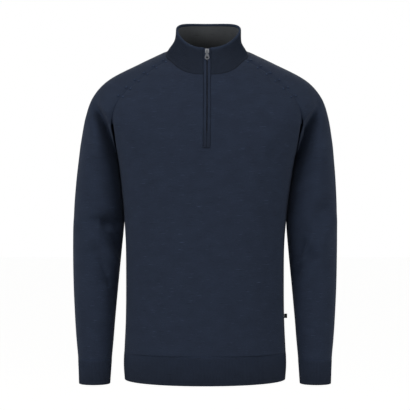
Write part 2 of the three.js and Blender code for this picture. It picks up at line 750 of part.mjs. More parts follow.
// Side label, a folded loop in the seam at the wearer's left

const LABEL = { z: -553, tall: 9, out: 6, thick: 1.4 };
function sideLabel() {
  const side = trunk.half(LABEL.z) + 0.3;
  const [r, end] = [LABEL.thick / 2, side + LABEL.out];
  const shape = new THREE.Shape();
  shape.moveTo(side, -r);
  shape.lineTo(end - r, -r);
  shape.absarc(end - r, 0, r, -Math.PI / 2, Math.PI / 2);
  shape.lineTo(side, r);
  const geometry = new THREE.ExtrudeGeometry(shape, { depth: LABEL.tall, bevelEnabled: false, curveSegments: 6 });
  return geometry.translate(0, 0, LABEL.z - LABEL.tall / 2);
}
piece("side_label", sideLabel(), { color: "#1b2421", roughness: 0.8 });

export default root;
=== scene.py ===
import bpy
import numpy as np
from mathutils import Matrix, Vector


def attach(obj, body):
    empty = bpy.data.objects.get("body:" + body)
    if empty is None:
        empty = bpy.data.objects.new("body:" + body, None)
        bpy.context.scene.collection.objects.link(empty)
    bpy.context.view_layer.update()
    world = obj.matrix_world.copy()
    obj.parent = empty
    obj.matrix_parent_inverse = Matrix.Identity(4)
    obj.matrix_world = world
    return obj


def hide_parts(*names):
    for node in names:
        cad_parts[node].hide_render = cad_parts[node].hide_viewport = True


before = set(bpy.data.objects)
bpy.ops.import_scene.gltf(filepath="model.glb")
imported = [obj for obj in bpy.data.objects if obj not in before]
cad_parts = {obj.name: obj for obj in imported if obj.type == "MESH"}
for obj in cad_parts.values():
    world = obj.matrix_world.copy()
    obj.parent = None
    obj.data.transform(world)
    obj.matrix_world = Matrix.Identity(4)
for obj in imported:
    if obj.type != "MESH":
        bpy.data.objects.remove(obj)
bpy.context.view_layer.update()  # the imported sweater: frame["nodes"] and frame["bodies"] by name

# Front and back. Two panels of fine merino jersey, each knitted to shape on a flat machine and linked to
# the sleeves along the raglan seams. The front has a slit for the zip. Lengths are in millimetres up to
# the moment a mesh is made.

WALL = 2.0  # thickness of the jersey
SEAM_GAP = 0.5  # between two pieces that are linked together
UNDERARM = -225
ZIP_FOOT_STEP = 0.12  # the line of the yoke table at which the slit for the zip ends
HEM_TOP = -627
SLIT_HALF = 7.3  # half the width of the slit
SLEEVE_HEAD_DEEP = 73.5  # how far the sleeve reaches to the front and back at the underarm
LEAN = {"by": 4.2, "low": -440, "high": -100}  # the neck sits a little to the wearer's left of the hem


def table(names, *rows):
    """Rows of numbers as one array for each column, under the names in the first argument."""
    return dict(zip(names.split(), np.array(rows, float).T))


# A section of the trunk at each height: half its width, how far front and back lie out, and how full its
# corners are.
TRUNK = table(
    "z half front back full",
    [-684, 166.5, 117, 118, 0.58],
    [-655, 168.5, 119, 120, 0.58],
    [-627, 167.8, 120, 119, 0.58],
    [-560, 164.8, 121, 115, 0.59],
    [-480, 164, 121.5, 110, 0.6],
    [-400, 165, 122, 108, 0.61],
    [-345, 169, 123.2, 108.7, 0.63],
    [-312, 172.2, 124.1, 110.2, 0.655],
    [-262, 178.2, 125.7, 113.7, 0.71],
    [-225, 183, 126.5, 118, 0.78],
)

# Lines round the yoke, from the underarm (0) to the neck seam (1): where each crosses the raglan seams in
# front and behind, the top of the shoulder, the middle of the chest and the nape.
YOKE = table(
    "step seamX seamY seamZ backX backY backZ topX topY topZ chestY chestZ napeY napeZ",
    [0, 183, 0, -225, 183, 0, -225, 264.8, 0, -225, -126.5, -225, 118, -225],
    [0.12, 187, -38, -206, 187.5, 42, -204, 261, 0, -192, -127, -209, 120, -203],
    [0.3, 193, -75, -158, 194, 79, -154, 251.5, 1, -138, -125.5, -173, 122.5, -156],
    [0.45, 187, -80, -120, 185, 85, -112, 237, 3, -97.5, -122, -140, 121, -112],
    [0.6, 163, -69, -87, 161, 77, -78, 205, 5, -62.5, -116.5, -117, 113.5, -75],
    [0.8, 121, -54, -50, 116, 64, -35, 140, 8, -28, -106, -86, 95.5, -34],
    [1, 80, -41, -22, 72, 47, 3, 83.5, 6, -2, -95, -57.4, 73, 5],
)


def track(rows, key, name, q):
    """A cubic curve through one column: between two rows it is a Hermite curve, whose slope at a row is that
    of the line between the rows on either side."""
    at, value = rows[key], rows[name]
    order = np.arange(len(at))
    before, after = np.maximum(order - 1, 0), np.minimum(order + 1, len(at) - 1)
    slope = (value[after] - value[before]) / (at[after] - at[before])
    i = np.clip(np.searchsorted(at, q) - 1, 0, len(at) - 2)
    span = at[i + 1] - at[i]
    u = np.clip((q - at[i]) / span, 0, 1)
    ends = value[i] * (2 * u**3 - 3 * u**2 + 1) + value[i + 1] * (3 * u**2 - 2 * u**3)
    return ends + span * (slope[i] * (u**3 - 2 * u**2 + u) + slope[i + 1] * (u**3 - u**2))


def vec(x, y, z):
    """Points or directions from three arrays that fit together, with the coordinates last."""
    return np.stack(np.broadcast_arrays(x, y, z), axis=-1).astype(float)


def unit(v):
    """v at length one."""
    return v / np.maximum(np.linalg.norm(v, axis=-1, keepdims=True), 1e-9)


def mix(a, b, share):
    """a at share 0, b at share 1, and a straight line between."""
    return a + (b - a) * share


def smooth(low, high, q):
    """0 below low, 1 above high, and 3t^2 - 2t^3 between."""
    t = np.clip((q - low) / (high - low), 0, 1)
    return t * t * (3 - 2 * t)


def bend(p0, d0, p1, d1, s):
    """The cubic Bezier curve that leaves p0 along d0 and reaches p1 along d1, at s from 0 to 1."""
    s = s[..., None]
    r = 1 - s
    return r**3 * p0 + 3 * r * r * s * (p0 + d0) + 3 * r * s * s * (p1 - d1) + s**3 * p1


def opening(step):
    """How open the fold at the raglan seam is: 0 under the arm, 1 where front and sleeve run on smoothly."""
    return smooth(0, 0.56, step)


def raglan(step, face):
    """The raglan seam at the wearer's left, face -1 in front and 1 behind: the seam, the shoulder line and
    the middle of the panel, the direction across the seam, and those in which the cloth of the body reaches
    it and that of the sleeve leaves it. The last two turn from the fold under the arm, where they point
    straight back, to the common tangent of body and sleeve."""
    seam_name, middle_name = ("seam", "chest") if face < 0 else ("back", "nape")
    at = lambda name: track(YOKE, "step", name, step)
    seam = vec(at(seam_name + "X"), at(seam_name + "Y"), at(seam_name + "Z"))
    top = vec(at("topX"), at("topY"), at("topZ"))
    middle = vec(0 * step, at(middle_name + "Y"), at(middle_name + "Z"))
    along = unit(unit(top - seam) + unit(seam - middle))
    opened = opening(step)
    level = np.hypot(along[..., 0], along[..., 1])
    turn = np.arctan2(-face * along[..., 1], along[..., 0])

    def heading(angle):
        return unit(vec(level * np.cos(angle), -face * level * np.sin(angle), along[..., 2] * opened))

    apart = unit(mix(along, np.array([1.0, 0, 0]), 1 - opened[..., None]))
    return seam, top, middle, apart, heading(mix(np.pi / 2, turn, opened)), heading(mix(-np.pi / 2, turn, opened))


def trunk_quarter(z, face, s, start=0):
    """A quarter of the trunk's ring: a cubic curve from the middle of front or back to the side seam."""
    deep = np.where(face < 0, -track(TRUNK, "z", "front", z), track(TRUNK, "z", "back", z))
    half, full = track(TRUNK, "z", "half", z), track(TRUNK, "z", "full", z)
    reach_side = vec(full * half, 0, 0)
    reach_back = vec(0, -face * full * np.abs(deep), 0)
    return bend(vec(start, deep, z), reach_side, vec(half, face * SEAM_GAP / 2, z), reach_back, s)


def yoke_quarter(step, face, s, start=0):
    """A line of the yoke on one panel: a cubic curve from the middle of the panel to the raglan seam."""
    seam, _, middle, apart, from_body, _ = raglan(step, face)
    full = mix(TRUNK["full"][-1], 0.6, smooth(0, 0.5, step))
    reach = full * np.abs(seam[..., 1] - middle[..., 1]) / np.maximum(np.abs(from_body[..., 1]), 0.3)
    edge = seam - apart * SEAM_GAP / 2
    edge[..., 1] += (1 - opening(step)) * face * SEAM_GAP / 2
    origin = middle + vec(start, 0, 0)
    return bend(origin, vec(full * seam[..., 0], 0, 0), edge, from_body * reach[..., None], s)


def lean(points):
    """Points moved sideways by the lean of the garment at their height."""
    return points + vec(LEAN["by"] * smooth(LEAN["low"], LEAN["high"], points[..., 2]), 0, 0)


def normals_of(grid, joined=None):
    """The unit normal at each point of a grid: its difference along the row, crossed with that up the
    column. joined marks the rows whose ends meet."""
    across, up = np.gradient(grid, axis=1), np.gradient(grid, axis=0)
    if joined is not None:
        across[joined, 0] = across[joined, -1] = grid[joined, 1] - grid[joined, -2]
        up[joined, 0] = up[joined, -1] = (up[joined, 0] + up[joined, -1]) / 2
    return unit(np.cross(across, up))


def run_along(grid, axis):
    """The length walked over the grid's points along an axis, from 0."""
    step = np.linalg.norm(np.diff(grid, axis=axis), axis=-1)
    start = np.zeros_like(np.take(step, [0], axis))
    return np.concatenate([start, np.cumsum(step, axis)], axis)


# The largest folds, as troughs and ridges (negative depth) along a line seen from the front; face tells
# whether one lies in front (-1) or behind (1).
BODY_FOLDS = {
    -1: table(
        "face x0 z0 x1 z1 width depth",
        [-1, 180, -176, 132, -236, 22, 3],
        [-1, -180, -178, -128, -232, 22, 3],
    ),
    1: table(
        "face x0 z0 x1 z1 width depth",
        [1, 176, -172, 120, -226, 22, 4],
        [1, -176, -172, -120, -226, 22, 4],
        [1, 96, -392, -70, -404, 26, 4],
        [1, -118, -446, 34, -458, 26, 3],
    ),
}


def fold_push(folds, points, normals):
    """How far the folds push each point out: minus the depth, times a bell of the distance to the fold's
    line over its width, where the cloth faces the fold's side."""
    x, z = points[..., 0], points[..., 2]
    push = np.zeros_like(x)
    for face, x0, z0, x1, z1, width, depth in zip(*folds.values()):
        dx, dz = x1 - x0, z1 - z0
        held = np.clip(((x - x0) * dx + (z - z0) * dz) / (dx * dx + dz * dz), 0, 1)
        off = np.hypot(x - x0 - held * dx, z - z0 - held * dz) / width
        push -= depth * np.exp(-off * off) * smooth(0, 0.5, face * normals[..., 1])
    return push


# The sharper creases on top of the folds: each runs through three points seen from the front, and its
# trough (or ridge, where the depth is negative) has one width on the right of that way and one on the left.
CREASES = "face x0 z0 x1 z1 x2 z2 right left depth"
BODY_CREASES = {
    -1: table(
        CREASES,
        [-1, 196, -176, 160, -212, 118, -236, 12, 8, 1.6],
        [-1, -190, -178, -152, -218, -112, -238, 8, 13, 1.5],
        [-1, 178, -262, 150, -268, 118, -262, 7, 9, 0.7],
        [-1, -158, -470, -122, -482, -70, -476, 9, 7, 0.8],
        [-1, 156, -508, 128, -520, 86, -514, 8, 10, 0.8],
        [-1, -163, -612, -152, -620, -138, -621, 5, 4, 1.4],
        [-1, 164, -606, 140, -618, 112, -619, 6, 5, 0.8],
    ),
    1: table(
        CREASES,
        [1, 150, -238, 92, -262, 22, -256, 11, 15, 2.8],
        [1, -158, -232, -110, -268, -46, -276, 14, 10, 3.0],
        [1, 132, -356, 64, -378, -16, -372, 12, 9, 2.5],
        [1, -128, -402, -60, -424, 30, -418, 9, 13, 2.9],
        [1, 118, -470, 52, -492, -48, -484, 12, 16, 2.4],
        [1, -150, -540, -96, -552, -20, -546, 10, 8, 1.6],
    ),
}


def crease_push(creases, points, normals):
    """How far the creases push each point out: minus the depth, times a bell of the distance to the way over
    the width on that side. It dies out over the first and last third of the way, which is the parabola
    through the three points."""
    x, z = points[..., 0], points[..., 2]
    push = np.zeros_like(x)
    t = np.linspace(0, 1, 17)
    shares = [2 * (t - 0.5) * (t - 1), 4 * t * (1 - t), 2 * t * (t - 0.5)]
    for face, x0, z0, x1, z1, x2, z2, right, left, depth in zip(*creases.values()):
        way = np.column_stack([np.dot([x0, x1, x2], shares), np.dot([z0, z1, z2], shares)])
        far = 3 * max(right, left)
        low, high = way.min(axis=0) - far, way.max(axis=0) + far
        near = (x > low[0]) & (x < high[0]) & (z > low[1]) & (z < high[1]) & (face * normals[..., 1] > 0)
        spot = np.column_stack([x[near], z[near]])[:, None]
        start, leg = way[:-1], np.diff(way, axis=0)
        held = np.clip(((spot - start) * leg).sum(axis=-1) / (leg**2).sum(axis=-1), 0, 1)
        off = spot - start - held[..., None] * leg
        away = np.linalg.norm(off, axis=-1)
        best = (np.arange(len(spot)), away.argmin(axis=1))
        turned = leg[best[1], 0] * off[best][:, 1] - leg[best[1], 1] * off[best][:, 0]
        bell = np.exp(-((away[best] / np.where(turned > 0, left, right)) ** 2))
        run = (best[1] + held[best]) / len(leg)
        ends = smooth(0, 0.33, run) * smooth(0, 0.33, 1 - run)
        push[near] -= depth * bell * ends * smooth(0, 0.4, face * normals[near][:, 1])
    return push


def knit_wall(name, grid, pattern, thickness, joined=None, kept=None, normals=None, edge_back=0.9):
    """A closed wall of cloth round a grid of outer points, rows going up, with the outside on the right of
    up. The inside lies one thickness behind the outside, and each edge of the cloth is a half round between
    them. pattern is the place of each point in the flat knitting, in millimetres, kept as a UV map."""
    rows, columns = grid.shape[:2]
    corner = np.arange(rows * columns).reshape(rows, columns)
    own = np.stack([corner[:-1, :-1], corner[:-1, 1:], corner[1:, 1:], corner[1:, :-1]], axis=-1)
    own = own[kept] if kept is not None else own.reshape(-1, 4)
    shared = corner.copy()
    if joined is not None:
        shared[joined, -1] = shared[joined, 0]
    shared = shared.ravel()
    points, ids = grid.reshape(-1, 3).copy(), shared[own]

    if normals is None:
        a, b, c, d = (points[ids[:, k]] for k in range(4))
        across = np.cross(c - a, d - b)
        normals = np.zeros_like(points)
        for k in range(4):
            np.add.at(normals, ids[:, k], across)
    normals = unit(normals.reshape(-1, 3))

    starts, ends = own.ravel(), own[:, [1, 2, 3, 0]].ravel()
    a, b = shared[starts], shared[ends]
    key = np.minimum(a, b) * len(points) + np.maximum(a, b)
    _, first, count = np.unique(key, return_index=True, return_counts=True)
    rim = first[count == 1]
    centre = points[ids].mean(axis=1)[rim // 4]
    outward = np.zeros_like(points)
    for end in (a[rim], b[rim]):
        np.add.at(outward, end, points[end] - centre)
    outward -= normals * (outward * normals).sum(axis=1, keepdims=True)
    border = np.unique(np.concatenate([a[rim], b[rim]]))
    outward = unit(outward)
    points[border] -= outward[border] * edge_back

    half, angles = thickness / 2, np.radians([40, 90, 140])
    middle = points - normals * half
    round_edge = [
        middle[border] + half * (np.cos(t) * normals[border] + np.sin(t) * outward[border]) for t in angles
    ]
    inner = points - normals * thickness
    place = np.zeros(len(points), int)
    place[border] = np.arange(len(border))
    ladder_a = [a[rim]] + [2 * len(points) + n * len(border) + place[a[rim]] for n in range(3)]
    ladder_b = [b[rim]] + [2 * len(points) + n * len(border) + place[b[rim]] for n in range(3)]
    ladder_a.append(len(points) + a[rim])
    ladder_b.append(len(points) + b[rim])
    bands = [
        np.stack([ladder_b[n], ladder_a[n], ladder_a[n + 1], ladder_b[n + 1]], axis=-1) for n in range(4)
    ]
    faces = np.concatenate([ids, len(points) + ids[:, ::-1], *bands])
    pair = np.stack([ends[rim], starts[rim], starts[rim], ends[rim]], axis=-1)
    spots = np.concatenate([own, own[:, ::-1], pair, pair, pair, pair])
    everything = np.concatenate([points, inner, *round_edge])
    return mesh_piece(name, everything, faces, pattern.reshape(-1, 2)[spots.ravel()])


def mesh_piece(name, points, faces, places=None):
    """A named object in metres from points in millimetres and faces with the same number of corners each,
    without unused points. places has one UV pair for each corner of each face."""
    used, faces = np.unique(faces, return_inverse=True)
    faces = faces.reshape(-1, 4) if faces.size % 4 == 0 and faces.ndim == 1 else faces
    mesh = bpy.data.meshes.new(name)
    mesh.from_pydata((points[used] * 0.001).tolist(), [], faces.tolist())
    if places is not None:
        mesh.uv_layers.new(name="knitting").uv.foreach_set("vector", places.astype(np.float32).ravel())
    mesh.shade_smooth()
    made = bpy.data.objects.new(name, mesh)
    bpy.context.scene.collection.objects.link(made)
    return made


def linear(hex_colour):
    """An sRGB hex colour as Blender's linear colour with alpha."""
    srgb = np.array([int(hex_colour[n : n + 2], 16) for n in (1, 3, 5)]) / 255
    value = np.where(srgb <= 0.04045, srgb / 12.92, ((srgb + 0.055) / 1.055) ** 2.4)
    return (*value, 1.0)


def material(name, hex_colour, roughness, **sockets):
    """A material with a Principled shader and its plain sockets; returns it with its shader and its tree."""
    made = bpy.data.materials.new(name)
    made.use_nodes = True
    made.diffuse_color = linear(hex_colour)
    shader = made.node_tree.nodes["Principled BSDF"]
    shader.inputs["Base Color"].default_value = linear(hex_colour)
    shader.inputs["Roughness"].default_value = roughness
    for socket, value in sockets.items():
        shader.inputs[socket.replace("_", " ")].default_value = value
    return made, shader, made.node_tree


def node(tree, kind, inputs=None, **settings):
    """One shader node with its settings. An input is a number, a colour or another node's output."""
    made = tree.nodes.new("ShaderNode" + kind)
    for key, value in settings.items():
        setattr(made, key, value)
    for key, value in (inputs or {}).items():
        if isinstance(value, bpy.types.NodeSocket):
            tree.links.new(value, made.inputs[key])
        else:
            made.inputs[key].default_value = value
    return made.outputs[0] if kind not in ("SeparateXYZ", "TexNoise") else made.outputs


WALE = 1.8  # width of a knitted stitch
COURSE = 1.35  # height of a stitch
FLECK = (20.0, 1.8)  # length and height of a lighter or darker pick in the yarn


def jersey(name, hex_colour, light_hex, relief, fleck_share, roughness=0.9, fade=None):
    """Merino jersey from a fine flat machine: columns of V-shaped stitches, a soft matt face with a little
    nap that catches light at grazing angles, and a yarn that is dyed slightly unevenly, so that picks of
    lighter and darker fibre lie across the cloth as short level flecks. fade has two heights up the knitting
    and how much the colour is scaled at each, which paints shade or a highlight along the rows."""
    made, shader, tree = material(name, hex_colour, roughness, Sheen_Weight=0.16, Sheen_Roughness=0.45)
    shader.inputs["Sheen Tint"].default_value = linear("#8d9ab4")
    shader.inputs["Specular IOR Level"].default_value = 0.25
    place = node(tree, "UVMap", uv_map="knitting")
    u, v, _ = node(tree, "SeparateXYZ", {0: place})
    maths = lambda do, a, b=0.0: node(tree, "Math", {0: a, 1: b}, operation=do)
    across = maths("FRACT", maths("DIVIDE", u, WALE))
    leg = maths("ABSOLUTE", maths("SUBTRACT", maths("MULTIPLY", across, 2.0), 1.0))
    arch = maths("SINE", maths("MULTIPLY", leg, np.pi))
    slant = maths("MULTIPLY", maths("ADD", maths("DIVIDE", v, COURSE), maths("MULTIPLY", leg, -0.6)), 2 * np.pi)
    stitch = maths("MULTIPLY", arch, maths("ADD", maths("MULTIPLY", maths("SINE", slant), 0.35), 0.65))
    drawn = lambda along, up, detail, seed: node(
        tree,
        "TexNoise",
        {
            "Vector": node(
                tree,
                "Mapping",
                {0: place, 1: (seed, seed, 0), 3: (1 / along, 1 / up, 1)},
            ),
            "Scale": 1.0,
            "Detail": detail,
        },
    )[0]
    pick = drawn(*FLECK, 2.0, 3.0)
    fleck = node(tree, "MapRange", {0: pick, 1: 0.64, 2: 0.8, 3: 0.0, 4: fleck_share})
    dark_fleck = node(tree, "MapRange", {0: drawn(*FLECK, 1.0, 41.0), 1: 0.62, 2: 0.78, 3: 1.0, 4: 0.62})
    mottle = node(tree, "MapRange", {0: drawn(34.0, 20.0, 3.0, 9.0), 1: 0.3, 2: 0.7, 3: -0.03, 4: 0.06})
    heather = node(tree, "MapRange", {0: drawn(3.2, 1.4, 1.0, 21.0), 1: 0.3, 2: 0.7, 3: -0.04, 4: 0.07})
    shade = maths("ADD", maths("ADD", fleck, mottle), maths("ADD", heather, maths("MULTIPLY", stitch, 0.06)))
    tone = node(
        tree,
        "Mix",
        {0: node(tree, "Clamp", {0: shade}), 6: linear(hex_colour), 7: linear(light_hex)},
        data_type="RGBA",
    )
    colour = [s for s in tone.node.outputs if s.type == "RGBA"][0]
    if fade:
        low, high, low_share, high_share = fade
        # The colour is painted brighter or darker up the knitting: painted shade or a painted highlight.
        painted_light_share = node(tree, "MapRange", {0: v, 1: low, 2: high, 3: low_share, 4: high_share})
        dark_fleck = maths("MULTIPLY", dark_fleck, painted_light_share)
    colour = node(tree, "VectorMath", {0: colour, "Scale": dark_fleck}, operation="SCALE")
    tree.links.new(colour, shader.inputs["Base Color"])
    height = maths("ADD", stitch, maths("MULTIPLY", pick, 0.5))
    bump = node(tree, "Bump", {"Strength": relief, "Distance": 0.0004, "Height": height})
    tree.links.new(bump, shader.inputs["Normal"])
    return made


navy_jersey = jersey("navy merino jersey", "#1d2637", "#3c4a63", 0.35, 0.7)

TUCK = {"deep": 1.3, "wide": 5.5}  # how far and how widely the cloth draws in beside a linked seam


def tuck(from_seam):
    """The depth of the shallow valley beside a seam: a bell of the distance to it."""
    return TUCK["deep"] * np.exp(-((from_seam / TUCK["wide"]) ** 2))


def finish_cloth(piece, cloth, node_name):
    """Gives a knitted piece its material and its body, and hides the CAD node it stands for."""
    piece.data.materials.append(cloth)
    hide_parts(node_name)
    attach(piece, "garment")


def body_panel(name, face, start):
    """The front or back: rings of the trunk up to the underarm, then lines of the yoke up to the neck."""
    z = np.linspace(HEM_TOP + 0.15, UNDERARM - 4, 124)[:, None]
    step = np.linspace(0, 1, 84)[:, None]
    s = np.linspace(0, 1, 68)[None, :]
    left = np.concatenate([trunk_quarter(z, face, s, start), yoke_quarter(step, face, s, start)])
    right = left[:, ::-1] * [-1, 1, 1]
    if start:
        share = np.array([0.25, 0.5, 0.75])[None, :, None]
        across = [right, mix(right[:, -1:], left[:, :1], share), left]
    else:
        across = [right, left[:, 1:]]
    grid = np.concatenate(across, axis=1)
    centre = grid.shape[1] // 2
    if face > 0:
        grid = grid[:, ::-1]
    grid = lean(grid)
    walked = run_along(grid, 1)
    from_seam = np.minimum(walked, walked[:, -1:] - walked)
    # The columns are eased where the rings pass into the lines of the yoke: each point moves towards the
    # middle of the points above and below it, forty times.
    ease = 0.45 * np.exp(-(((grid[..., 2:] - UNDERARM) / 24) ** 2)) * smooth(0, 25, from_seam)[..., None]
    for _ in range(40):
        grid[1:-1] += ease[1:-1] * (grid[:-2] + grid[2:] - 2 * grid[1:-1])
    normals = normals_of(grid)
    from_neck = run_along(grid[::-1], 0)[::-1]
    push = fold_push(BODY_FOLDS[face], grid, normals)
    push += crease_push(BODY_CREASES[face], grid, normals) * smooth(0, 10, from_seam)
    push -= tuck(np.minimum(from_seam, from_neck)) * np.where(np.arange(len(grid)) < len(z), 0.5, 1)[:, None]
    grid = grid + normals * push[..., None]

    round_it = run_along(grid, 1)
    round_it -= round_it[:, centre : centre + 1]
    climb = run_along(grid[:, centre : centre + 1], 0)[:, 0]
    middle_z = grid[:, centre, 2]
    above = np.maximum(grid[..., 2] - middle_z[-1], 0)
    pattern = np.stack([round_it, np.interp(grid[..., 2], middle_z, climb) + 1.3 * above], axis=-1)

    kept = np.ones((grid.shape[0] - 1, grid.shape[1] - 1), bool)
    if start:
        foot = len(z) + int(np.searchsorted(step[:, 0], ZIP_FOOT_STEP))
        kept[foot:, centre - 2 : centre + 2] = False
    return knit_wall(name, grid, pattern, WALL, kept=kept)


front = body_panel("front_panel", -1, SLIT_HALF)
back = body_panel("back_panel", 1, 0)
finish_cloth(front, navy_jersey, "front")
finish_cloth(back, navy_jersey, "back")

# Sleeves. One panel of the same jersey each, closed along the inside of the arm, with a raglan head that
# runs up to the collar. The elbows are bent a little, so the cloth folds in front of them.

SLEEVE = table(
    "z inner outer front back",
    [-691, 196, 260, -57, 16],
    [-640, 192.5, 262.3, -56, 22],
    [-600, 189, 266, -57, 29],
    [-560, 186, 269, -58, 37],
    [-487, 179.7, 272.8, -59, 50],
    [-412, 172.8, 274.6, -58, 62],
    [-362, 169.2, 274.3, -60, 66],
    [-345, 169.5, 273.6, -61.5, 67.2],
    [-312, 172.5, 272.3, -64, 69],
    [-262, 178.5, 268.6, -69, 71],
    [-225, 183, 264.8, -73, 74],
)
CUFF_TOP = -640

SLEEVE_FOLDS = {
    1: table(
        "face x0 z0 x1 z1 width depth",
        [-1, 236, -112, 196, -158, 13, 8],
        [-1, 238, -142, 219, -188, 13, -4],
        [-1, 239, -186, 203, -258, 20, 4],
        [-1, 244, -334, 208, -420, 17, 8],
        [-1, 258, -352, 228, -420, 20, -5],
        [-1, 214, -424, 184, -458, 15, 8],
        [1, 262, -352, 206, -398, 17, 6],
        [1, 252, -412, 200, -440, 18, 5],
    ),
    -1: table(
        "face x0 z0 x1 z1 width depth",
        [-1, -229, -113, -196, -158, 13, 8],
        [-1, -238, -150, -218, -196, 13, -4],
        [-1, -222, -357, -168, -351, 15, 8],
        [-1, -198, -362, -188, -398, 16, 6],
        [-1, -226, -420, -204, -474, 17, 5],
        [-1, -256, -372, -226, -398, 20, -4],
        [1, -262, -346, -206, -392, 17, 6],
        [1, -250, -416, -198, -432, 18, 5],
    ),
}
SLEEVE_CREASES = {
    1: table(
        CREASES,
        [-1, 190, -196, 206, -158, 248, -108, 20, 4, 9],
        [-1, 202, -247, 222, -210, 240, -168, 26, 7, -3.5],
        [-1, 186, -232, 200, -202, 216, -176, 12, 12, 3],
        [-1, 191, -450, 210, -402, 238, -332, 24, 6, -4.5],
        [-1, 176, -446, 194, -418, 213, -382, 5, 14, 6],
        [-1, 184, -416, 200, -386, 214, -354, 10, 12, 3],
        [-1, 195, -436, 188, -462, 185, -510, 8, 7, 3],
        [-1, 212, -428, 226, -432, 240, -428, 4, 3, 1.2],
        [-1, 196, -566, 212, -574, 232, -572, 7, 5, 1.2],
        [1, 268, -330, 240, -352, 206, -360, 7, 14, 4],
        [1, 262, -398, 234, -414, 198, -410, 13, 6, 3.5],
        [1, 256, -452, 232, -462, 204, -460, 6, 9, 1.8],
        [1, 206, -176, 226, -150, 250, -128, 16, 6, 5],
        [1, 250, -556, 226, -568, 204, -566, 6, 8, 1.2],
    ),
    -1: table(
        CREASES,
        [-1, -240, -106, -207, -150, -191, -200, 13, 4, 8],
        [-1, -238, -160, -222, -200, -206, -240, 9, 22, -2.5],
        [-1, -216, -357, -190, -360, -158, -366, 16, 5, 6],
        [-1, -190, -377, -178, -398, -172, -440, 7, 8, 4],
        [-1, -208, -390, -194, -418, -185, -448, 12, 9, -3],
        [-1, -220, -424, -202, -457, -189, -508, 6, 6, 3.5],
        [-1, -195, -467, -191, -498, -189, -560, 6, 16, 2.5],
        [-1, -252, -300, -228, -312, -204, -308, 8, 6, 1.2],
        [-1, -238, -560, -218, -570, -200, -566, 5, 7, 1.2],
        [1, -266, -336, -238, -352, -204, -356, 14, 7, 4],
        [1, -260, -404, -230, -418, -196, -412, 6, 13, 3.5],
        [1, -252, -462, -228, -470, -202, -466, 9, 6, 1.6],
        [1, -204, -172, -226, -146, -250, -126, 6, 16, 5],
        [1, -248, -540, -226, -554, -206, -552, 8, 6, 1.2],
    ),
}
PRESSED = 0.8  # how far the cloth of the upper arm is pressed on the side of the body
# The pocket of each armpit, where the sleeve falls back behind the edge of the body: it runs as a crease
# does, and its depth is the share by which the front of the arm draws back to the middle of the arm.
POCKETS = {
    1: table(CREASES, [-1, 184, -270, 197, -184, 244, -112, 24, 5, 0.42]),
    -1: table(CREASES, [-1, -236, -112, -198, -170, -183, -262, 12, 6, 0.35]),
}


def sleeve_half(z, face, s):
    """Half a ring of the sleeve below the underarm: a half oval from its inner to its outer side."""
    inner, outer = track(SLEEVE, "z", "inner", z) + SEAM_GAP / 2, track(SLEEVE, "z", "outer", z)
    inner = inner - PRESSED * smooth(-420, -350, z) * smooth(UNDERARM, UNDERARM - 12, z)
    ahead, behind = track(SLEEVE, "z", "front", z), track(SLEEVE, "z", "back", z)
    middle, reach = (ahead + behind) / 2, vec(0, face * (behind - ahead) * 2 / 3, 0)
    return bend(vec(inner, middle, z), reach, vec(outer, middle, z), -reach, s)


def head_half(step, face, s):
    """Half a line of the sleeve's head, from the raglan seam to the top of the shoulder."""
    seam, top, _, apart, _, to_sleeve = raglan(step, face)
    edge = seam + apart * SEAM_GAP / 2
    smooth_reach = 0.38 * np.linalg.norm(edge - top, axis=-1)
    opened = opening(step)
    leave = mix(np.maximum(SLEEVE_HEAD_DEEP - np.abs(seam[..., 1]), 0) * 4 / 3, smooth_reach, opened)
    arrive = mix(SLEEVE_HEAD_DEEP * 4 / 3, smooth_reach, opened)
    at = lambda name: track(YOKE, "step", name, step)
    rise = (at("backZ") - at("seamZ")) / np.maximum(at("backY") - at("seamY"), 1)
    over = unit(vec(0, -face, -face * rise))
    return bend(edge, to_sleeve * leave[..., None], top, over * arrive[..., None], s)


def sleeve(name, side):
    """A sleeve: closed rings up to the underarm, then the open lines of the head, over the arm."""
    z = np.linspace(CUFF_TOP + 0.15, UNDERARM, 160)[:, None]
    step = np.linspace(0, 1, 98)[1:, None]
    s = np.linspace(0, 1, 57)[None, :]
    over_front = np.concatenate([sleeve_half(z, -1, s), head_half(step, -1, s)])
    over_back = np.concatenate([sleeve_half(z, 1, s), head_half(step, 1, s)])
    grid = np.concatenate([over_front, over_back[:, -2::-1]], axis=1)
    if side < 0:
        grid = grid[:, ::-1] * [-1, 1, 1]
    grid = lean(grid)
    joined = np.arange(grid.shape[0]) < len(z)
    normals = normals_of(grid, joined)
    walked = run_along(grid, 1)
    from_seam = np.where(joined[:, None], 99, np.minimum(walked, walked[:, -1:] - walked))
    from_neck = run_along(grid[::-1], 0)[::-1]
    push = fold_push(SLEEVE_FOLDS[side], grid, normals)
    push += crease_push(SLEEVE_CREASES[side], grid, normals) * smooth(0, 6, from_seam)
    push -= tuck(np.minimum(from_seam, from_neck))
    grid = grid + normals * push[..., None]
    ahead = vec(0, np.where(grid[..., 1] < 0, -1, 0), 0)
    grid[..., 1] *= 1 + crease_push(POCKETS[side], grid, ahead) * smooth(0, 6, from_seam)
    outer = grid.shape[1] // 2
    round_it = run_along(grid, 1)
    round_it -= round_it[:, outer : outer + 1]
    climb = run_along(grid[:, outer : outer + 1], 0)
    pattern = np.stack(np.broadcast_arrays(round_it, climb), axis=-1)
    return knit_wall(name, grid, pattern, WALL, joined=joined)


for name, side in (("left", 1), ("right", -1)):
    made = sleeve(f"{name}_sleeve", side)
    finish_cloth(made, navy_jersey, f"sleeve_{name}")

# Hem band and cuffs. Tubes of fine rib, knitted on the same machine and turned at the lower edge. The ribs
# draw in and hide light between them, so the bands look darker than the jersey; their colour is painted
# darker as well, as painted shade.

HEM_FOOT = -684
HEM_DIP = 2.4  # how much lower the hem hangs in the middle of the front
CUFF_FOOT = -691
RIB_WALL = 2.2
RIB_PITCH = 3.0  # from one rib to the next, as fine as the photo allows
RIB_WAVE = 0.38  # how far a rib stands out of the middle of its wall
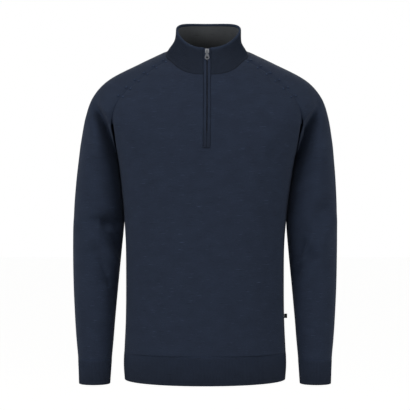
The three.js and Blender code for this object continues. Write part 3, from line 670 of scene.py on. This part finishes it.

# The bands' colour is painted darker towards their turned edge, as painted shade where the ribs close up.
# The zip welts, knitted of the same rib, get this painted shade towards the foot of the zip.
navy_rib = jersey("navy merino rib", "#18202f", "#2d394e", 0.3, 0.3, fade=(4, 58, 0.92, 1.32))


def even(points, closed_share):
    """The values of a 0-to-1 parameter that share out a dense line of points evenly by length."""
    walked = run_along(points[None], 1)[0]
    return np.interp(closed_share, walked / walked[-1], np.linspace(0, 1, len(points)))


def trunk_ring(z, s):
    """A point of the trunk's ring, s going once round from the middle of the back by the wearer's left."""
    quarter = s * 4
    face = np.where((quarter < 1) | (quarter > 3), 1, -1)
    folded = np.where(quarter < 2, quarter, 4 - quarter)
    share = np.where(face > 0, folded, 2 - folded)
    ring = trunk_quarter(z, face, share)
    ring[..., 1] -= face * SEAM_GAP / 2 * share
    ring[..., 0] *= np.where(quarter < 2, 1, -1)
    return lean(ring)


def cuff_ring(z, s, side):
    """A point of the sleeve's ring, s going once round from the inside of the arm over the front."""
    face = np.where(s < 0.5, -1, 1)
    ring = sleeve_half(z, face, np.where(s < 0.5, 2 * s, 2 - 2 * s))
    ring[..., 0] *= side
    return lean(ring)


def rib_band(name, ring, low, high, turned, dip=0):
    """A ribbed tube: a closed profile of outside, upper edge, inside and turned lower edge, carried round
    the ring. The whole wall waves in and out by a cosine, one wave for each rib, and the wave dies out
    towards the seam. dip is how much lower the foot hangs at the middle of the front, where s is 0.5."""
    dense = np.linspace(0, 1, 4001)
    middle = (low + high) / 2
    length = run_along(ring(np.array(middle), dense)[None], 1)[0, -1]
    ribs = round(length / RIB_PITCH)
    s = even(ring(np.array(middle), dense), np.arange(ribs * 5) / (ribs * 5))
    half = RIB_WALL / 2
    tall = np.linspace(low + half, high - 0.4, 13)
    bottom = np.radians([150, 120, 90, 60, 30])
    height = np.concatenate([tall, [high], [high], tall[::-1], low + half - half * np.sin(bottom)])
    inset = np.concatenate(
        [0 * tall, [0.3], [RIB_WALL - 0.3], 0 * tall + RIB_WALL, half - half * np.cos(bottom)]
    )
    level = height[:, None] - dip * np.maximum(-np.cos(2 * np.pi * s), 0) * ((high - height) / (high - low))[:, None]
    face = ring(level, s[None, :])
    across = np.roll(face, -1, axis=1) - np.roll(face, 1, axis=1)
    up = ring(level + 1, s[None, :]) - ring(level - 1, s[None, :])
    outward = unit(np.cross(across, up) * (-1 if turned else 1))
    fade = 1 - smooth(high - 5, high, height)
    wave = RIB_WAVE * np.cos(2 * np.pi * np.arange(ribs * 5) / 5)[None, :] * fade[:, None]
    grid = face + outward * (wave - inset[:, None])[..., None]
    rows, columns = grid.shape[:2]
    corner = np.arange(rows * columns).reshape(rows, columns)
    above = np.roll(corner, -1, axis=0)
    faces = np.stack([corner, np.roll(corner, -1, axis=1), np.roll(above, -1, axis=1), above], axis=-1)
    order = [3, 2, 1, 0] if turned else [0, 1, 2, 3]
    u0 = np.arange(columns) * (length / columns)
    u1 = u0 + length / columns
    v0 = height - low
    v1 = np.roll(v0, -1)
    pair = lambda u, v: np.stack(np.broadcast_arrays(u[None, :], v[:, None]), axis=-1)
    places = np.stack([pair(u0, v0), pair(u1, v0), pair(u1, v1), pair(u0, v1)], axis=2)
    return mesh_piece(name, grid.reshape(-1, 3), faces.reshape(-1, 4)[:, order], places[:, :, order].reshape(-1, 2))


hem = rib_band("hem_rib", trunk_ring, HEM_FOOT, HEM_TOP - 0.15, True, HEM_DIP)
finish_cloth(hem, navy_rib, "hem_band")
for name, side in (("left", 1), ("right", -1)):
    band = rib_band(
        f"{name}_cuff_rib", lambda z, s: cuff_ring(z, s, side), CUFF_FOOT, CUFF_TOP - 0.15, side < 0
    )
    finish_cloth(band, navy_rib, f"cuff_{name}")

# Collar. A stand of the same rib, linked to the neck line and open in front for the zip. Its upper edge is
# turned over a facing of dark grey jersey, which shows above the front.

NECK_HALF = 82
RIM = {"half": 67.5, "deep": 66, "middle": -4, "aside": 3}  # the collar's upper edge, from above
RIM_ROUND = 2.1  # radius of the turned edge
RIM_AT = 60  # the length of rib from the neck seam up to the rim, in front
TURNED_DOWN = 2.2  # how far the rib comes down inside
LINING_INSET = 2.9
LINING_WALL = 1.6


def neck_line():
    """The neck seam from one edge of the slit round the back to the other, as a dense line of points."""
    top, s = np.array([[1.0]]), np.linspace(0, 1, 300)[None, :]
    quarters = [
        yoke_quarter(top, -1, s, SLIT_HALF),
        head_half(top, -1, s),
        head_half(top, 1, s)[:, ::-1],
        yoke_quarter(top, 1, s)[:, ::-1],
    ]
    left = np.concatenate([q[0] for q in quarters])
    return np.concatenate([left, left[-2::-1] * [-1, 1, 1]])


NECK = neck_line()
NECK_WALKED = run_along(NECK[None], 1)[0]
NECK_LENGTH = NECK_WALKED[-1]


def collar_face(s, v):
    """The outside of the collar, s round the neck seam and v up: a cubic curve at each s, from the seam,
    which it leaves leaning in, to the rim, an oval that dips in front."""
    base = np.stack([np.interp(s * NECK_LENGTH, NECK_WALKED, NECK[:, k]) for k in range(3)], axis=-1)
    x, y = base[..., 0], base[..., 1]
    slit = SLIT_HALF * smooth(0, 90, -y)
    turn = np.arctan2((np.abs(x) - slit) / (NECK_HALF - slit), -(y + 5) / 84)
    ahead, aside = np.cos(turn), np.sin(turn)
    rim_x = (slit + (RIM["half"] - slit) * aside) * np.sign(x) + RIM["aside"] * aside**2
    rim = vec(rim_x, RIM["middle"] - RIM["deep"] * ahead, 42 - 31.5 * ahead - 13.5 * ahead**2)
    tall = np.linalg.norm(rim - base, axis=-1, keepdims=True)
    inward = unit((rim - base) * [1, 1, 0])
    leave = unit(inward * mix(0.42, 0.85, aside**2)[..., None] + [0, 0, 0.8])
    arrive = unit(vec(0, 0.22 * ahead, 1))
    start = base + leave * SEAM_GAP
    return lean(bend(start, leave * 0.45 * tall, rim, arrive * 0.36 * tall, v))


def collar_frame(s, v):
    """The collar's face with its normal, away from the neck, and the direction up the face."""
    near = 1e-3
    face = collar_face(s, v)
    ahead, behind = np.minimum(s + near, 1), np.maximum(s - near, 0)
    above, below = np.minimum(v + near, 1), np.maximum(v - near, 0)
    up = unit(collar_face(s, above) - collar_face(s, below))
    normal = unit(np.cross(collar_face(ahead, v) - collar_face(behind, v), up))
    away = ((face - [0, -5, 0]) * normal * [1, 1, 0]).sum(axis=-1, keepdims=True)
    return face, normal * np.where(away < 0, -1, 1), up


def collar():
    """The ribbed stand: its face, then a half round over the rim and a short way down inside."""
    ribs = round(NECK_LENGTH / RIB_PITCH)
    s = np.arange(ribs * 6 + 1) / (ribs * 6)
    ribbing = RIB_WAVE * np.cos(2 * np.pi * np.arange(len(s)) / 6)
    v = np.linspace(0, 1, 24)[:, None]
    face, normal, up = collar_frame(np.broadcast_to(s, (len(v), len(s))), np.broadcast_to(v, (len(v), len(s))))
    over = np.radians(np.linspace(22.5, 180, 8))[:, None, None]
    turned = face[-1] + RIM_ROUND * (normal[-1] * (np.cos(over) - 1) + up[-1] * np.sin(over))
    turned_normal = normal[-1] * np.cos(over) + up[-1] * np.sin(over)
    down = np.array([0.5, 1.0])[:, None, None] * TURNED_DOWN
    inside = turned[-1] - up[-1] * down
    grid = np.concatenate([face, turned, inside])
    outward = np.concatenate([normal, turned_normal, np.broadcast_to(-normal[-1], inside.shape)])
    rows = np.arange(len(grid))[:, None]
    fade = smooth(0, 2, rows) * (1 - 0.6 * smooth(20, 24, rows))
    climb = run_along(grid[:, :1], 0)
    grid = grid + outward * (ribbing * fade - 0.7 * tuck(climb))[..., None]
    pattern = np.stack(np.broadcast_arrays(s[None, :] * NECK_LENGTH, climb), axis=-1)
    # s runs from the wearer's left over the back, so seen from outside the rows run to the left.
    return knit_wall("collar_rib", grid[:, ::-1], pattern[:, ::-1], 1.8, normals=outward[:, ::-1], edge_back=0.7)


def lining():
    """The facing inside the collar, its plain face turned to the neck."""
    clear = 3.5 / NECK_LENGTH
    s = np.linspace(clear, 1 - clear, 200)
    v = np.linspace(0.02, 1, 20)[:, None] * (1 - 3.4 / 58)
    face, normal, _ = collar_frame(np.broadcast_to(s, (len(v), len(s))), np.broadcast_to(v, (len(v), len(s))))
    grid = (face - normal * LINING_INSET)[:, ::-1]
    climb = run_along(grid[:, :1], 0)
    pattern = np.stack(np.broadcast_arrays(s[None, ::-1] * NECK_LENGTH, climb), axis=-1)
    return knit_wall("collar_facing", grid, pattern, LINING_WALL, normals=normal[:, ::-1], edge_back=0.6)


stand = collar()
# The collar's colour is painted lighter over the rim, a painted highlight where the turned edge catches
# light, and the facing's colour is painted darker low down, as painted shade deep inside the collar.
collar_rib = jersey("navy merino collar rib", "#161e2c", "#2b374b", 0.3, 0.3, fade=(RIM_AT - 6, RIM_AT, 1.0, 1.8))
finish_cloth(stand, collar_rib, "collar")
grey_jersey = jersey("dark grey jersey facing", "#3a3c3e", "#535558", 0.3, 0.2, fade=(10, 50, 0.6, 1.25))
facing = lining()
finish_cloth(facing, grey_jersey, "collar_lining")

# Zip. Two knitted welts, folded double, cover the edges of the slit. Behind each lies a woven tape with a
# nylon coil sewn to its edge, whose loops mesh in the middle. The slider and its pull are cast zinc, plated
# with nickel, and their edges are rounded by tumbling.

WELT = {"near": 0.9, "far": 7.0, "proud": 1.0, "deep": 1.9, "round": 1.3}
TAPE = {"near": 1.2, "far": 8.8, "front": 2.4, "thick": 0.8}
LOOP = {"pitch": 1.5, "radius": 0.42, "deep": 2.45}  # the loops of the coil
SLIDER_FROM_TOP = 6.5


def zip_way():
    """The middle line of the front, from the foot of the zip to the top of the collar, as dense points."""
    step, v = np.linspace(ZIP_FOOT_STEP, 1, 80), np.linspace(0.12, 1, 40)[:, None]
    chest = vec(0, track(YOKE, "step", "chestY", step), track(YOKE, "step", "chestZ", step))
    return np.concatenate([chest, collar_face(0 * v, v)[:, 0] * [0, 1, 1]])


ZIP = zip_way()
ZIP_WALKED = run_along(ZIP[None], 1)[0]
ZIP_LENGTH = ZIP_WALKED[-1]


def zip_frame(q):
    """The point of the zip's middle line at a length q from its foot, and the direction out of the front:
    the way up the line, from 2 mm below to 2 mm above, turned forward by a right angle."""
    at = lambda r: np.stack([np.interp(r, ZIP_WALKED, ZIP[:, k]) for k in range(3)], axis=-1)
    up = unit(at(q + 2) - at(q - 2))
    return at(q), vec(0, -up[..., 2], up[..., 1])


def along_zip(section, side, q):
    """The rows of a strip along the zip: section has the place across and outward of each of its points."""
    at, out = zip_frame(q)
    rows = at[:, None] + out[:, None] * section[None, :, 1:]
    rows[..., 0] = side * section[:, 0]
    return lean(rows)


def tubes(name, grids, closed=False):
    """One mesh of tubes of the same shape, grids[tube][ring][point]. Each end is closed by fields that join
    the points on both sides of its ring, unless the tube is closed upon itself. The faces are turned so
    that the volume is positive, and the UV map has the way round and the way along in millimetres."""
    count, rows, k = grids.shape[:3]
    corner = np.arange(rows * k).reshape(rows, k)
    here, above = (corner, np.roll(corner, -1, axis=0)) if closed else (corner[:-1], corner[1:])
    faces = np.stack([here, np.roll(here, -1, 1), np.roll(above, -1, 1), above], axis=-1).reshape(-1, 4)
    if not closed:
        i = np.arange(k // 2 - 1)
        cap = np.stack([i + 1, i, k - 1 - i, k - 2 - i], axis=-1)
        faces = np.concatenate([faces, cap, (rows - 1) * k + cap[:, ::-1]])
    a, b, c, d = (grids[0].reshape(-1, 3)[faces[:, n]] for n in range(4))
    if (a * (np.cross(b, c) + np.cross(c, d))).sum() < 0:
        faces = faces[:, ::-1]
    spot = np.stack([run_along(grids[0], 1), run_along(grids[0], 0)], axis=-1).reshape(-1, 2)
    places = np.tile(spot[faces.ravel()], (count, 1))
    faces = (faces[None] + rows * k * np.arange(count)[:, None, None]).reshape(-1, 4)
    return mesh_piece(name, grids.reshape(-1, 3), faces, places)


def welt_section():
    """The outline of a welt, over its front from the edge at the zip to the far one and back behind: a
    straight band whose ends are quarter rounds above and below."""
    half, middle = (WELT["proud"] + WELT["deep"]) / 2, (WELT["proud"] - WELT["deep"]) / 2
    turn, r = np.radians(np.linspace(6, 90, 7)), WELT["round"]
    across = r * (1 - np.cos(turn))
    rise = half - r * (1 - np.sin(turn))
    over = np.concatenate([WELT["near"] + across, np.linspace(3, 5, 3), WELT["far"] - across[::-1]])
    tall = np.concatenate([rise, [half] * 3, rise[::-1]])
    return np.column_stack([np.concatenate([over, over[::-1]]), np.concatenate([middle + tall, middle - tall[::-1]])])


def coil(side, q):
    """The loops of one coil: each a short bar with a rounded head that reaches over the middle."""
    across = np.array([2.6, 1.2, 0.3, -0.25, -0.5])
    wide = LOOP["radius"] * np.array([0.7, 1, 1, 1, 0.45])
    turn = np.radians(np.arange(0, 360, 60))
    at, out = zip_frame(q)
    up = vec(0, out[:, 2], -out[:, 1])
    ring = wide[:, None, None] * (
        np.cos(turn)[None, :, None] * out[:, None, None] + np.sin(turn)[None, :, None] * up[:, None, None]
    )
    loops = (at - out * LOOP["deep"])[:, None, None] + ring
    loops[..., 0] = side * across[None, :, None]
    return lean(loops)


def woven(name, hex_colour, light_hex, roughness, thread):
    """A woven band of filament yarn, as for zip tapes and labels: warp and weft cross under and over in a
    fine chequer, whose raised threads catch a little light."""
    made, shader, tree = material(name, hex_colour, roughness, Sheen_Weight=0.1)
    place = node(tree, "Mapping", {0: node(tree, "UVMap", uv_map="knitting"), 3: (1 / thread, 1 / thread, 1)})
    weave = node(tree, "TexChecker", {0: place, "Scale": 1.0})
    uneven = node(tree, "TexNoise", {"Vector": place, "Scale": 0.7})[0]
    raised = node(tree, "Math", {0: weave.node.outputs[1], 1: uneven}, operation="MULTIPLY")
    tone = node(tree, "Mix", {0: raised, 6: linear(hex_colour), 7: linear(light_hex)}, data_type="RGBA")
    tree.links.new([s for s in tone.node.outputs if s.type == "RGBA"][0], shader.inputs["Base Color"])
    bump = node(tree, "Bump", {"Strength": 0.3, "Distance": 0.0002, "Height": raised})
    tree.links.new(bump, shader.inputs["Normal"])
    return made


tape_cloth = woven("black woven polyester tape", "#0d0f13", "#1d2128", 0.8, 0.6)


def hazed(name, hex_colour, light_hex, scale, rough, metallic):
    """A smooth hard surface, dulled in faint cloudy patches by handling: colour and roughness follow the
    same noise. Used for the nylon of the coil and for nickel plating over tumbled zinc."""
    made, shader, tree = material(name, hex_colour, rough[0], Metallic=metallic)
    place = node(tree, "TexCoord").node.outputs["Object"]
    haze = node(tree, "TexNoise", {"Vector": place, "Scale": scale, "Detail": 3.0})[0]
    tree.links.new(node(tree, "MapRange", {0: haze, 3: rough[0], 4: rough[1]}), shader.inputs["Roughness"])
    tone = node(tree, "Mix", {0: haze, 6: linear(hex_colour), 7: linear(light_hex)}, data_type="RGBA")
    tree.links.new([s for s in tone.node.outputs if s.type == "RGBA"][0], shader.inputs["Base Color"])
    return made


nylon = hazed("black nylon coil", "#0c0e12", "#15181d", 900.0, (0.34, 0.5), 0.0)
slider_low = ZIP_LENGTH - SLIDER_FROM_TOP - 4.5
for name, side in (("left", 1), ("right", -1)):
    q = np.linspace(0.3, ZIP_LENGTH - 0.1, 90)
    rows = along_zip(welt_section(), side, q)
    # Below the last 32 mm the two welts lie edge to edge.
    across = welt_section()[:, 0]
    closed = 0.82 * (1 - smooth(28, 36, q))[:, None] * (1 - smooth(1, 6, across))[None, :]
    rows[..., 0] -= side * closed
    welt = tubes(f"{name}_zip_welt", rows[None])
    finish_cloth(welt, navy_rib, f"zip_welt_{name}")
    across = np.linspace(TAPE["near"], TAPE["far"], 7)
    section = np.column_stack([across, 0 * across - TAPE["front"]])[::side]
    q = np.linspace(1, ZIP_LENGTH - 1.5, 60)
    places = np.stack(np.broadcast_arrays(section[None, :, 0], q[:, None]), axis=-1)
    tape = knit_wall(f"{name}_zip_tape", along_zip(section, side, q), places, TAPE["thick"], edge_back=0.3)
    finish_cloth(tape, tape_cloth, f"zip_tape_{name}")
    q = np.arange(2 + (side > 0) * LOOP["pitch"] / 2, slider_low, LOOP["pitch"])
    loops = tubes(f"{name}_zip_coil", coil(side, q))
    loops.data.materials.append(nylon)
    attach(loops, "garment")

for name, finish, dark, light in (
    ("zip_slider", "nickel plated zinc", "#67696d", "#86888c"),
    ("zip_pull", "darker nickel plated zinc", "#4c4e53", "#6b6d72"),
):
    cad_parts[name].data.materials.clear()
    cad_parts[name].data.materials.append(hazed(finish, dark, light, 450.0, (0.22, 0.42), 1.0))

# Side label. A narrow woven tape, folded once and caught by its ends in the side seam at the wearer's left.
# It is left plain.

LABEL = {"z": -553, "tall": 9, "out": 6, "fold": 0.42, "thick": 0.5}


def side_label():
    """The folded tape: along its outside from the seam to the fold, round it, and back."""
    side = float(track(TRUNK, "z", "half", np.array(float(LABEL["z"])))) + 0.3
    turn = np.radians(np.linspace(-90, 90, 9))
    flat = np.linspace(side, side + LABEL["out"] - LABEL["fold"], 8)[:-1]
    half = LABEL["fold"] + LABEL["thick"] / 2
    x = np.concatenate([flat, side + LABEL["out"] - half + half * np.cos(turn), flat[::-1]])
    y = np.concatenate([0 * flat - half, half * np.sin(turn), 0 * flat + half])
    z = LABEL["z"] + LABEL["tall"] * np.linspace(-0.5, 0.5, 8)[:, None]
    grid = vec(x[None, :], y[None, :], z)
    places = np.stack([run_along(grid, 1), run_along(grid, 0)], axis=-1)
    return knit_wall("woven_side_label", lean(grid), places, LABEL["thick"], edge_back=0.2)


label = side_label()
finish_cloth(label, woven("greenish black woven label", "#141b18", "#2c3733", 0.7, 0.5), "side_label")

# Seams and fashion marks. The panels are linked loop by loop with the same yarn, which lies as a soft cord
# in each seam. Where the machine narrowed the panels, a moved stitch shows every few courses beside the
# raglan seams as a small V with a knot at its foot.

CORD = {"radius": 0.85, "sunk": 1.05}  # the linking, and how deep its middle lies in the seam
MARK = {"apart": 24, "first": 9, "from_seam": 6.0, "leg": 5.4, "spread": 2.4, "raised": 0, "thick": 0.8, "knot": 1.6}


def yarn(name, hex_colour, light_hex):
    """Merino yarn of two plies, which wind round each other at a slant and catch light on their crests."""
    made, shader, tree = material(name, hex_colour, 0.95, Sheen_Weight=0.03, Specular_IOR_Level=0.2)
    u, v, _ = node(tree, "SeparateXYZ", {0: node(tree, "UVMap", uv_map="knitting")})
    slant = node(tree, "Math", {0: u, 1: v}, operation="ADD")
    plies = node(tree, "Math", {0: node(tree, "Math", {0: slant, 1: 3.0}, operation="MULTIPLY")}, operation="SINE")
    share = node(tree, "MapRange", {0: plies, 1: -1.0})
    tone = node(tree, "Mix", {0: share, 6: linear(hex_colour), 7: linear(light_hex)}, data_type="RGBA")
    tree.links.new([s for s in tone.node.outputs if s.type == "RGBA"][0], shader.inputs["Base Color"])
    bump = node(tree, "Bump", {"Strength": 0.4, "Distance": 0.0002, "Height": plies})
    tree.links.new(bump, shader.inputs["Normal"])
    return made


linking_yarn = yarn("navy merino linking yarn", "#1a2233", "#29344a")
# The legs of each V are painted a little darker than the jersey, as painted shade in the V, and the knots much
# lighter, as a painted highlight on the raised knot.
moved_stitch_painted_shade = yarn("navy merino moved stitch", "#192233", "#26324a")
knot_painted_highlight = yarn("navy merino raised stitch", "#303d55", "#42516c")
# The neck's linking yarn is painted near black, as painted shade where the seam lies under the foot of the collar.
neck_shade_yarn = yarn("navy merino neck linking yarn", "#0e131c", "#171e2c")


def cord(name, way, closed=False, radius=CORD["radius"], spun=linking_yarn):
    """A round cord along a way of points: rings of eight, square to the way."""
    ahead = unit(np.roll(way, -1, axis=0) - np.roll(way, 1, axis=0) if closed else np.gradient(way, axis=0))
    aside = unit(np.cross(ahead, [0, 0, 1] if closed else [0.2, 0.97, 0.13]))
    above = np.cross(aside, ahead)
    turn = np.radians(np.arange(0, 360, 45))[None, :, None]
    grid = way[:, None] + radius * (np.cos(turn) * aside[:, None] + np.sin(turn) * above[:, None])
    made = tubes(name, grid[None], closed)
    made.data.materials.append(spun)
    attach(made, "garment")


def seam_frame(step, face):
    """The raglan seam at the wearer's left, the way up it, and the normals of the body and of the sleeve
    beside it, from the last and first hundredth of their lines."""
    one = np.ones_like(step)
    seam = raglan(step, face)[0]
    up = unit(np.gradient(seam, axis=0))
    body = yoke_quarter(step, face, one) - yoke_quarter(step, face, 0.99 * one)
    arm = head_half(step, face, 0.01 * one) - head_half(step, face, 0 * one)
    return seam, up, [unit(np.cross(unit(way), up)) * -face for way in (body, arm)]


def marks(name, face, side, on_sleeve):
    """The marks of one panel along one raglan seam, evenly apart from the neck down: for each two legs of a
    V and a knot, as short bars with four rings."""
    step = np.linspace(0.45, 0.985, 400)
    seam, up, normals = seam_frame(step, face)
    walked = run_along(seam[None], 1)[0]
    chosen = np.searchsorted(walked, np.arange(walked[-1] - MARK["first"], 4, -MARK["apart"]))
    q, up, normal = step[chosen], up[chosen], normals[int(on_sleeve)][chosen]
    if on_sleeve:
        wide = np.linalg.norm(head_half(q, face, 0 * q + 0.02) - head_half(q, face, 0 * q), axis=-1) / 0.02
        spot = head_half(q, face, MARK["from_seam"] / wide)
    else:
        wide = np.linalg.norm(yoke_quarter(q, face, 0 * q + 1) - yoke_quarter(q, face, 0 * q + 0.98), axis=-1) / 0.02
        spot = yoke_quarter(q, face, 1 - MARK["from_seam"] / wide)
    spot = spot + normal * MARK["raised"]
    aside = np.cross(up, normal)
    tall, spread = up * MARK["leg"], aside * MARK["spread"]
    starts = np.concatenate([spot, spot, spot + tall * 0.5])
    ends = np.concatenate([spot + tall + spread, spot + tall - spread, spot + tall * 0.95])
    thick = np.repeat([MARK["thick"], MARK["thick"], MARK["knot"]], len(q))
    along, radius = np.array([0, 0.2, 0.8, 1]), np.array([0.4, 1, 1, 0.4])
    turn = np.radians(np.arange(0, 360, 60))[:, None]
    around = np.cos(turn) * np.tile(aside, (3, 1))[:, None] + np.sin(turn) * np.tile(normal, (3, 1))[:, None]
    middle = mix(starts[:, None], ends[:, None], along[None, :, None])
    grid = middle[:, :, None] + (thick[:, None] * radius)[:, :, None, None] * around[:, None]
    made = tubes(name, lean(grid * [side, 1, 1]))
    made.data.materials.append(moved_stitch_painted_shade)
    made.data.materials.append(knot_painted_highlight)
    slots = np.repeat([0, 1], [2 * len(q), len(q)])
    made.data.polygons.foreach_set("material_index", np.repeat(slots, len(made.data.polygons) // len(slots)))
    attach(made, "garment")


for face, panel in ((-1, "front"), (1, "back")):
    step = np.linspace(0.3, 0.997, 90)
    seam, _, (body_normal, arm_normal) = seam_frame(step, face)
    way = seam - unit(body_normal + arm_normal) * (CORD["sunk"] + TUCK["deep"])
    for name, side in (("left", 1), ("right", -1)):
        cord(f"{panel}_{name}_raglan_linking", lean(way * [side, 1, 1]))
        marks(f"{panel}_{name}_body_marks", face, side, False)
        marks(f"{panel}_{name}_sleeve_marks", face, side, True)

side_z = np.linspace(HEM_TOP, UNDERARM - 8, 80)
side_way = vec(track(TRUNK, "z", "half", side_z) - CORD["sunk"] - TUCK["deep"] / 2, 0, side_z)
cord("left_side_linking", lean(side_way))
cord("right_side_linking", lean(side_way * [-1, 1, 1]))


neck_s = np.linspace(0.004, 0.996, 320)
neck_way, neck_normal, _ = collar_frame(neck_s, 0 * neck_s)
cord("neck_linking", neck_way - neck_normal * 2.0, radius=1.3, spun=neck_shade_yarn)


def ring_way(ring, z, turned):
    """A ring of the trunk or a sleeve, drawn in to where the linking lies."""
    points = ring(np.array(float(z)), np.linspace(0, 1, 361)[:-1])
    ahead = unit(np.roll(points, -1, axis=0) - np.roll(points, 1, axis=0))
    return points - np.cross(ahead, [0, 0, 1]) * turned * 0.95


cord("hem_linking", ring_way(trunk_ring, HEM_TOP, -1), True, 1.15)
for name, side in (("left", 1), ("right", -1)):
    cord(f"{name}_cuff_linking", ring_way(lambda z, s: cuff_ring(z, s, side), CUFF_TOP, side), True, 1.15)

# Stage. A white studio: a wide pale floor far below the hem, soft light from both sides of the camera,
# and the camera level with the middle of the garment.

CAMERA = {"y": -3.2, "z": -0.3224, "lens": 135}
SURROUND = 0.25  # how bright the surround is as a light
LAMPS = (
    ("left", (-1.7, -1.6, 0.7), 1.3, 32),
    ("right", (1.9, -1.3, 0.6), 1.3, 21),
    ("above", (-0.3, -2.3, 2.2), 1.4, 12),
    ("rear", (0.4, 3.4, 1.4), 2.0, 40),
)


def studio():
    """The floor, the white surround and the lamps. Surround and floor look white to the camera and light the
    garment softly, so that the lamps give it its form."""
    span, floor_z = 30.0, -1.45
    corners = np.array([[-1, -1], [1, -1], [1, 1], [-1, 1]]) * span * 1000
    points = np.column_stack([corners, np.full(4, floor_z * 1000)])
    floor = mesh_piece("studio_floor", points, np.array([[0, 1, 2, 3]]))
    paint, shader, tree = material("white floor paint", "#e8e8e6", 0.8)
    seen = node(tree, "LightPath")
    shader.inputs["Emission Color"].default_value = (1, 1, 1, 1)
    tree.links.new(node(tree, "Math", {0: seen, 1: 0.78}, operation="MULTIPLY"), shader.inputs["Emission Strength"])
    floor.data.materials.append(paint)
    world = bpy.data.worlds.new("white surround")
    bpy.context.scene.world = world
    world.use_nodes = True
    tree, background = world.node_tree, world.node_tree.nodes["Background"]
    background.inputs["Color"].default_value = (1, 1, 1, 1)
    glow = node(tree, "MapRange", {0: node(tree, "LightPath"), 3: SURROUND, 4: 1.0})
    tree.links.new(glow, background.inputs["Strength"])
    for name, place, size, power in LAMPS:
        lamp = bpy.data.lights.new(name, "AREA")
        lamp.size, lamp.energy = size, power
        made = bpy.data.objects.new(name, lamp)
        made.location = place
        aim = np.array([0, 0, -0.3]) - np.array(place)
        made.rotation_euler = Vector(aim).to_track_quat("-Z", "Y").to_euler()
        bpy.context.scene.collection.objects.link(made)
    eye = bpy.data.cameras.new("camera")
    eye.lens, eye.sensor_width, eye.clip_end = CAMERA["lens"], 36, 100
    camera = bpy.data.objects.new("camera", eye)
    camera.location = (0, CAMERA["y"], CAMERA["z"])
    camera.rotation_euler = (np.pi / 2, 0, 0)
    bpy.context.scene.collection.objects.link(camera)
    bpy.context.scene.camera = camera
    bpy.context.scene.view_settings.view_transform = "Standard"


studio()
